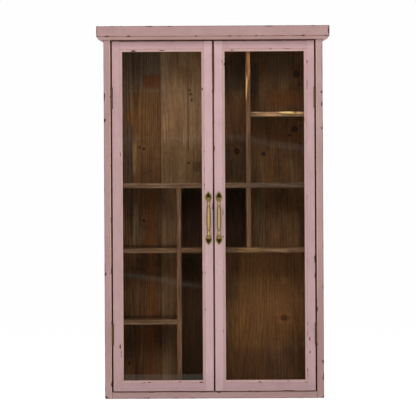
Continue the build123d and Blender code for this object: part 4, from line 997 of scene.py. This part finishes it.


# Half a bar from its middle to a foot: stations along a path in the plane x = offset, each with an oval section.
# Grip: half width = half of gripWidth * (1 - slimming * share ^ 3), proud = gripProud - gripBow * share ^ 2.
# Collar: an ellipse of revolution on the neck. Neck: a quarter ellipse from the collar down to the plate.
# Section: x = a * cos, out = b * sin, with the front raised to a ridge by the power of its sine and cosine.
# Polish: high on the grip's ridge, on the belly of the collar and at the foot of the neck, and raised further where a
# section faces the front, a painted highlight, with painted shade on its sides
def pullBarGrid(hand, up):
    share = np.linspace(0, 1, pull["gripRows"])
    fullness = 1 - (1 - pull["gripEndWidth"] / pull["gripWidth"]) * share**3
    gripReach, gripOut = share * pull["gripHalf"], pull["gripProud"] - pull["gripBow"] * share**2
    gripA, gripB = pull["gripWidth"] / 2 * fullness, pull["gripThickness"] / 2 * np.sqrt(fullness)
    gripPolish = 0.92 - 0.3 * share**8

    t = np.linspace(0, 1, pull["collarRows"])[1:]
    collarStart = pull["gripHalf"] + pull["gripEnd"]
    collarReach = collarStart + t * (pull["collarReach"] - collarStart)
    collarOut = gripOut[-1] - pull["gripBow"] / 2 * t
    bulge = np.sqrt(np.clip(1 - ((collarReach - pull["collarReach"]) / (pull["collarLength"] / 2)) ** 2, 0, 1))
    collarA = np.maximum(pull["neckWidth"] / 2, pull["collarWidth"] / 2 * bulge)
    collarB = np.maximum(pull["neckThickness"] / 2, pull["collarWidth"] / 2 * bulge)
    collarPolish = 0.5 + 0.5 * bulge**0.5

    angle = np.linspace(0, np.pi / 2, pull["neckRows"])[1:]
    run = pull["footReach"] - pull["collarReach"]
    rise = collarOut[-1] - pull["fieldProud"]
    neckReach, neckOut = pull["collarReach"] + run * np.sin(angle), pull["fieldProud"] + rise * np.cos(angle)
    pastCollar = np.clip(1 - ((neckReach - pull["collarReach"]) / (pull["collarLength"] / 2)) ** 2, 0, 1) ** 0.5
    flare = np.clip(1 - (neckOut - pull["fieldProud"]) / pull["footFlare"], 0, 1) ** 2
    thickA = pull["neckWidth"] / 2 + (pull["footRadius"] - pull["neckWidth"] / 2) * flare
    thickB = pull["neckThickness"] / 2 + (pull["footRadius"] - pull["neckThickness"] / 2) * flare
    neckA = np.maximum(thickA, pull["collarWidth"] / 2 * pastCollar)
    neckB = np.maximum(thickB, pull["collarWidth"] / 2 * pastCollar)
    neckPolish = 0.6 + 0.4 * pastCollar + 0.4 * np.sin(angle) ** 8

    reach = np.concatenate([gripReach, collarReach, neckReach])
    out = np.concatenate([gripOut, collarOut, neckOut])
    a = np.concatenate([gripA, collarA, neckA])
    b = np.concatenate([gripB, collarB, neckB])
    high = np.concatenate([gripPolish, collarPolish, neckPolish])
    power = np.concatenate([np.full(len(gripA), pull["ridge"]), np.ones(len(collarA) + len(neckA))])
    slopeReach, slopeOut = np.gradient(reach), np.gradient(out)
    steep = np.hypot(slopeReach, slopeOut)
    normalReach, normalOut = -slopeOut / steep, slopeReach / steep

    turn = np.linspace(0, 2 * np.pi, pull["around"] + 1)
    cos, sin = np.cos(turn)[None, :], np.sin(turn)[None, :]
    front = np.where(sin > 0, power[:, None], 1.0)
    sectionX = a[:, None] * np.sign(cos) * np.abs(cos) ** front
    sectionOut = b[:, None] * np.sign(sin) * np.abs(sin) ** front
    x = hand * pull["offset"] + sectionX
    z = pull["height"] + up * (reach[:, None] + normalReach[:, None] * sectionOut)
    y = pull["doorFace"] - (out[:, None] + normalOut[:, None] * sectionOut)
    grid = np.stack([x, y, z], axis=-1)
    foot = grid[-1].mean(axis=0, keepdims=True).repeat(grid.shape[1], axis=0)[None]
    turned = np.concatenate([np.zeros(len(gripReach) + len(collarReach)), np.sin(angle)])[:, None]
    # painted highlight and shade: the polish is kept where a section faces the front and falls away on its sides; the
    # neck, as it turns down, counts as facing
    facing = np.clip(sin, 0, 1) ** 2.4 * (1 - turned) + turned
    shine = high[:, None] * (0.12 + 0.88 * facing)
    return np.concatenate([grid, foot]), np.concatenate([shine, shine[-1:]])


# Pointed plate of a pull: two arcs a side, a bevelled edge, a raised rim and a sunk field
plate = {
    "halfLength": 0.072,
    "length": 0.028,
    "width": 0.0185,
    "innerEnd": 0.0032,
    "outerArc": (0.66, 0.22),  # a point on each arc, as shares of the half width and of the length
    "innerArc": (0.84, 0.24),
    "middle": 0.53,  # share of the length from the outer point
    "boss": (0.0515, 0.0042),  # distance from the pull's middle, radius
    "screwHollow": (0.0590, 0.0030, 0.0034),  # the same, half width, half height
    "fieldTop": 0.0014,
    "arcSteps": 22,
    # the low polish of the plate's outer bevel rows is painted shade, a dark outline round the plate
    "rows": (  # inset from the outline, height over the door's face, polish
        (0.0, 0.0, 0.05),
        (0.0, 0.0016, 0.15),
        (0.0005, 0.0022, 0.5),
        (0.0012, 0.0024, 0.9),
        (0.0018, 0.0023, 0.75),
        (0.0021, 0.0017, 0.2),
        (0.0024, 0.0013, 0.05),
        (0.0027, 0.0012, 0.2),
    ),
}


# Points of the arc through three points: its centre is equally far from all of them
def arcPoints(a, b, c, steps):
    a, b, c = (np.array(p, float) for p in (a, b, c))
    sides = 2 * np.array([b - a, c - a])
    centre = np.linalg.solve(sides, np.array([b @ b - a @ a, c @ c - a @ a]))
    angles = np.unwrap([np.arctan2(*(p - centre)[::-1]) for p in (a, b, c)])
    sweep = np.linspace(angles[0], angles[2], steps)
    return centre + np.linalg.norm(a - centre) * np.stack([np.cos(sweep), np.sin(sweep)], axis=-1)


# One plate: its outline is carried inwards along the outline's normals, row by row, and then drawn in to its middle
def pullPlateGrid(hand, up):
    halfWidth, length, tip, steps = plate["width"] / 2, plate["length"], plate["halfLength"], plate["arcSteps"]
    (outerX, outerShare), (innerX, innerShare) = plate["outerArc"], plate["innerArc"]
    shoulder = (halfWidth, tip - length / 2)
    outer = arcPoints((0.0, tip), (outerX * halfWidth, tip - outerShare * length), shoulder, steps)
    innerMiddle = (innerX * halfWidth, tip - length + innerShare * length)
    inner = arcPoints(shoulder, innerMiddle, (plate["innerEnd"], tip - length), steps)
    right = np.concatenate([outer, inner[1:]])
    outline = np.concatenate([right, right[::-1][:-1] * (-1, 1)])
    before, after = outline - np.roll(outline, 1, axis=0), np.roll(outline, -1, axis=0) - outline
    before /= np.linalg.norm(before, axis=1, keepdims=True)
    after /= np.linalg.norm(after, axis=1, keepdims=True)
    bisector = np.stack([-(before + after)[:, 1], (before + after)[:, 0]], axis=-1)
    bisector /= np.linalg.norm(bisector, axis=1, keepdims=True)
    mitre = np.clip(np.abs(-before[:, 1] * bisector[:, 0] + before[:, 0] * bisector[:, 1]), 0.45, 1)
    middle = np.array([0.0, tip - length * plate["middle"]])
    inwards = bisector * np.sign(np.sum(bisector * (middle - outline), axis=1, keepdims=True)) / mitre[:, None]
    insets, heights, shine = (np.array(column) for column in zip(*plate["rows"]))
    rings = outline[None] + inwards[None] * insets[:, None, None]
    shrink = np.array([0.75, 0.5, 0.25, 0.0])[:, None, None]
    field = middle + (rings[-1] - middle)[None] * shrink
    under = np.broadcast_to(middle, (1, *outline.shape))
    flat = np.concatenate([under, rings, field])
    flat = np.concatenate([flat, flat[:, :1]], axis=1)
    heights = np.concatenate([[0.0], heights, np.full(4, heights[-1])])
    shine = np.concatenate([[0.1], shine, np.full(4, shine[-1])])
    x = hand * pull["offset"] + flat[..., 0]
    y = pull["doorFace"] - np.broadcast_to(heights[:, None], x.shape)
    z = pull["height"] + up * flat[..., 1]
    # the boss round the foot of the bar is rubbed bright, and the hollow round the screw is nearly black: dark patina
    # and painted shade of the recess
    bossAt, bossRadius = plate["boss"]
    boss = np.exp(-(flat[..., 0] ** 2 + (flat[..., 1] - bossAt) ** 2) / bossRadius**2)
    hollowAt, halfWide, halfHigh = plate["screwHollow"]
    hollow = np.exp(-((flat[..., 0] / halfWide) ** 4) - ((flat[..., 1] - hollowAt) / halfHigh) ** 4)
    inField = heights[:, None] < plate["fieldTop"]
    level = np.where(inField, shine[:, None] + 0.8 * boss - hollow, shine[:, None])
    return np.stack([x, y, z], axis=-1), np.clip(level, 0, 1)


for side, hand in hands:
    door = f"{side}_door"
    bars, shine = zip(*(pullBarGrid(hand, up) for up in (1, -1)))
    surfacePiece(f"{side}_cast_pull", bars, pullBrass, door, f"{side}_pull_bar", shine, 0.9)
    plates, shine = zip(*(pullPlateGrid(hand, up) for up in (1, -1)))
    surfacePiece(f"{side}_cast_plates", plates, pullBrass, door, f"{side}_pull_plates", shine, 0.9)
print("pulls done")


# A slotted wood screw as rows across its slot. A row at height y has its ends at +-sqrt(radius ^ 2 - y ^ 2) on the rim,
# goes over the head at dome * (1 - (r / radius) ^ 2), lies slotDepth lower inside the slot, and runs down the cone and
# the shank to the tip
def screwGrid(screw, centre, axis, turn):
    radius, shank, length, slot = screw["radius"], screw["shank"], screw["length"], screw["slotWidth"] / 2
    rowsY = radius * np.sin(np.radians(np.linspace(-90, 90, 17)))
    rowsY = np.concatenate([rowsY[rowsY < -slot], [-slot, -slot, slot, slot], rowsY[rowsY > slot]])
    inSlot = np.zeros(len(rowsY))
    first = int(np.argmax(rowsY == -slot)) + 1
    inSlot[first : first + 2] = 1
    across = np.linspace(-1, 1, 9)
    chord = np.sqrt(np.clip(radius**2 - rowsY**2, 0, None))[:, None]
    headX = across[None, :] * chord
    headY = np.broadcast_to(rowsY[:, None], headX.shape)
    headZ = screw["dome"] * (1 - (headX**2 + headY**2) / radius**2) - screw["slotDepth"] * inSlot[:, None]
    head = np.stack([headX, headY, headZ], axis=-1)
    slim = np.array([shank / radius, shank / radius, 0.0])
    skirts = [
        (rim * slim + (0, 0, shank - radius), rim * slim + (0, 0, 2 * shank - length), rim * 0 + (0, 0, -length))
        for rim in (head[:, :1], head[:, -1:])
    ]
    local = np.concatenate([*skirts[0][::-1], head, *skirts[1]], axis=1)
    outward, upward = np.array(axis, float), np.array([0.0, 0.0, 1.0])
    slotDirection = np.cos(turn) * upward + np.sin(turn) * np.cross(upward, outward)
    acrossSlot = np.cross(outward, slotDirection)
    return np.array(centre) + local[..., :1] * slotDirection + local[..., 1:2] * acrossSlot + local[..., 2:] * outward


# A row of screws: each slot is turned by the golden angle past the one before, so that no two line up
def screwRow(screw, places, axis, first=0):
    goldenAngle = 2.39996  # radians
    return [screwGrid(screw, place, axis, goldenAngle * (n + first)) for n, place in enumerate(places)]


hingeScrew = {
    "radius": 0.0025,
    "shank": 0.0012,
    "length": 0.012,
    "slotWidth": 0.0007,
    "slotDepth": 0.0006,
    "dome": 0.0,
}
pullScrew = {
    "radius": 0.0031,
    "shank": 0.0014,
    "length": 0.015,
    "slotWidth": 0.0009,
    "slotDepth": 0.0008,
    "dome": 0.0007,
    "reach": 0.061,
}
hangerScrew = {
    "radius": 0.0031,
    "shank": 0.0015,
    "length": 0.020,
    "slotWidth": 0.0009,
    "slotDepth": 0.0009,
    "dome": 0.0,
}
# where the leaves' screws lie: heights of the hinges' middles, pitch, depth, and distance of each leaf from the middle
hinge = {"heights": (0.1732, 0.807), "pitch": 0.020, "screwY": -0.06485, "doorLeaf": 0.2729, "frameLeaf": 0.2741}
hanger = {"offset": 0.2, "screwReach": 0.015, "backY": 0.075, "height": 0.958}

holes = [height + step * hinge["pitch"] for height in hinge["heights"] for step in (-1, 0, 1)]
frameScrews = []
for side, hand in hands:
    door = f"{side}_door"
    places = [(hand * hinge["doorLeaf"], hinge["screwY"], z) for z in holes]
    screws = screwRow(hingeScrew, places, (hand, 0, 0))
    surfacePiece(f"{side}_door_leaf_screws", screws, hingeBrass, door, f"{side}_door_hinge_screws")
    places = [(hand * hinge["frameLeaf"], hinge["screwY"], z) for z in holes]
    frameScrews += screwRow(hingeScrew, places, (-hand, 0, 0), 3)
    x, y = hand * pull["offset"], pull["doorFace"] - pull["fieldProud"]
    places = [(x, y, pull["height"] + up * pullScrew["reach"]) for up in (-1, 1)]
    screws = screwRow(pullScrew, places, (0, -1, 0), hand)
    surfacePiece(f"{side}_pull_plate_screws", screws, blackenedBrass, door, f"{side}_pull_screws")
surfacePiece("frame_leaf_screws", frameScrews, hingeBrass, "carcass", "frame_hinge_screws")
offsets = [side * hanger["offset"] + end * hanger["screwReach"] for side in (-1, 1) for end in (-1, 1)]
screws = screwRow(hangerScrew, [(x, hanger["backY"], hanger["height"]) for x in offsets], (0, 1, 0))
surfacePiece("hanger_plate_screws", screws, zincSteel, "carcass", "hanger_screws")
print("screws done")


# The studio: a white floor and backdrop, a soft all-round light that is dark behind the camera, so that the panes
# stay clear, a large soft lamp in front above the camera, a higher one, and weaker ones at the sides and behind
studio = {
    "floorGlow": 0.98,
    "floorShade": "#595959",
    "floorReach": 30.0,
    "floorLevel": -0.0005,
    "shellRadius": 28.0,
    "ambient": 0.10,
    "bounce": 1.15,  # what the white floor sends up
    "dark": (0.86, 0.97),  # cosines of the angle from the way that the doors face, between which the light fades
    "horizon": 0.02,  # how far over and under the horizon bounce and ambient blend
    "lampsLookAt": (0.0, 0.0, 0.5),
    "lamps": (  # place, width, height, watts
        ((0.0, -3.2, 2.0), 2.0, 1.2, 9.0),
        ((0.0, -3.9, 3.6), 2.6, 2.2, 106.0),
        ((-1.7, -3.0, 0.9), 1.0, 1.6, 5.5),
        ((1.7, -3.0, 0.9), 1.0, 1.6, 5.5),
        ((0.0, 2.8, 2.4), 2.0, 1.5, 60.0),
    ),
}
floorMaterial, add, place = newMaterial("white_studio_paper")
paper = add("TexNoise", {"Vector": place, "Scale": 3.0, "Detail": 2.0})
paperTone = add("MapRange", (paper, 0.3, 0.7, 0.97, 1.0))
glow = add("Emission", {"Color": "#ffffff", "Strength": studio["floorGlow"]})
shade = add("VectorMath", (studio["floorShade"], paperTone), operation="MULTIPLY")
closeMaterial(floorMaterial, add, add("AddShader", (glow, add("BsdfDiffuse", {"Color": shade}))))
floorMesh = bpy.data.meshes.new("floor")
corners = [(-1, -1), (1, -1), (1, 1), (-1, 1)]
floorPoints = [(studio["floorReach"] * x, studio["floorReach"] * y, studio["floorLevel"]) for x, y in corners]
floorMesh.from_pydata(floorPoints, [], [(0, 1, 2, 3)])
floorMesh.materials.append(floorMaterial)
floor = intoScene("floor", floorMesh)
floor.visible_glossy = floor.visible_diffuse = False

world = bpy.data.worlds.new("studio")
world.use_nodes = True
world.node_tree.nodes.clear()
addToWorld = partial(addNode, world.node_tree)
direction = addToWorld("TexCoord").outputs["Generated"]
forward = addToWorld("VectorMath", (direction, (0.0, -1.0, 0.0)), operation="DOT_PRODUCT")
level = addToWorld("SeparateXYZ", direction).outputs[2]
strength = addToWorld("MapRange", (level, -studio["horizon"], studio["horizon"], studio["bounce"], studio["ambient"]))
clear = addToWorld("MapRange", (forward, *studio["dark"], 1.0, 0.0))
strength = addToWorld("Math", (strength, clear), operation="MULTIPLY")
sky = addToWorld("Background", {"Color": "#ffffff", "Strength": strength})
addToWorld("OutputWorld", {"Surface": sky})
bpy.context.scene.world = world

# a white shell that only the camera sees, so that the ground behind the cabinet is white whatever the light is.
# Its points are radius * (cos b cos a, cos b sin a, sin b)
shellMaterial, add, place = newMaterial("white_backdrop")
closeMaterial(shellMaterial, add, add("Emission", {"Color": "#fefefe", "Strength": 1.0}))
around, upwards = np.linspace(0, 2 * np.pi, 49), np.linspace(-np.pi / 2, np.pi / 2, 25)
a, b = np.meshgrid(around, upwards, indexing="ij")
shellPoints = studio["shellRadius"] * np.stack([np.cos(b) * np.cos(a), np.cos(b) * np.sin(a), np.sin(b)], axis=-1)
shellMesh = bpy.data.meshes.new("backdrop")
shellMesh.from_pydata(shellPoints.reshape(-1, 3).tolist(), [], gridQuads(len(around), len(upwards)).tolist())
shellMesh.materials.append(shellMaterial)
shell = intoScene("backdrop", shellMesh)
shell.visible_diffuse = shell.visible_glossy = shell.visible_transmission = shell.visible_shadow = False

for number, (spot, width, height, watts) in enumerate(studio["lamps"]):
    lamp = bpy.data.lights.new(f"softbox_{number}", "AREA")
    lamp.shape = "RECTANGLE"
    lamp.size, lamp.size_y = width, height
    lamp.energy = watts
    holder = intoScene(f"softbox_{number}", lamp)
    holder.location = spot
    aim = np.array(studio["lampsLookAt"]) - np.array(spot)
    holder.rotation_euler = (np.arctan2(np.hypot(aim[0], aim[1]), -aim[2]), 0.0, np.arctan2(-aim[0], aim[1]))
    holder.visible_camera = False

# square on to the doors: what is seen is the picture's width at their faces, and the roll is in degrees
camera = {"place": (-0.0154, -9.075, 0.5115), "seen": 1.1168, "distance": 9.0, "roll": 0.30}
lens = bpy.data.cameras.new("camera")
lens.sensor_width = 36.0
lens.lens = lens.sensor_width * camera["distance"] / camera["seen"]
lens.clip_end = 100.0
viewer = intoScene("camera", lens)
viewer.location = camera["place"]
viewer.rotation_euler = (np.pi / 2, np.radians(camera["roll"]), 0.0)
bpy.context.scene.camera = viewer
bpy.context.scene.view_settings.view_transform = "Standard"
print("studio done")
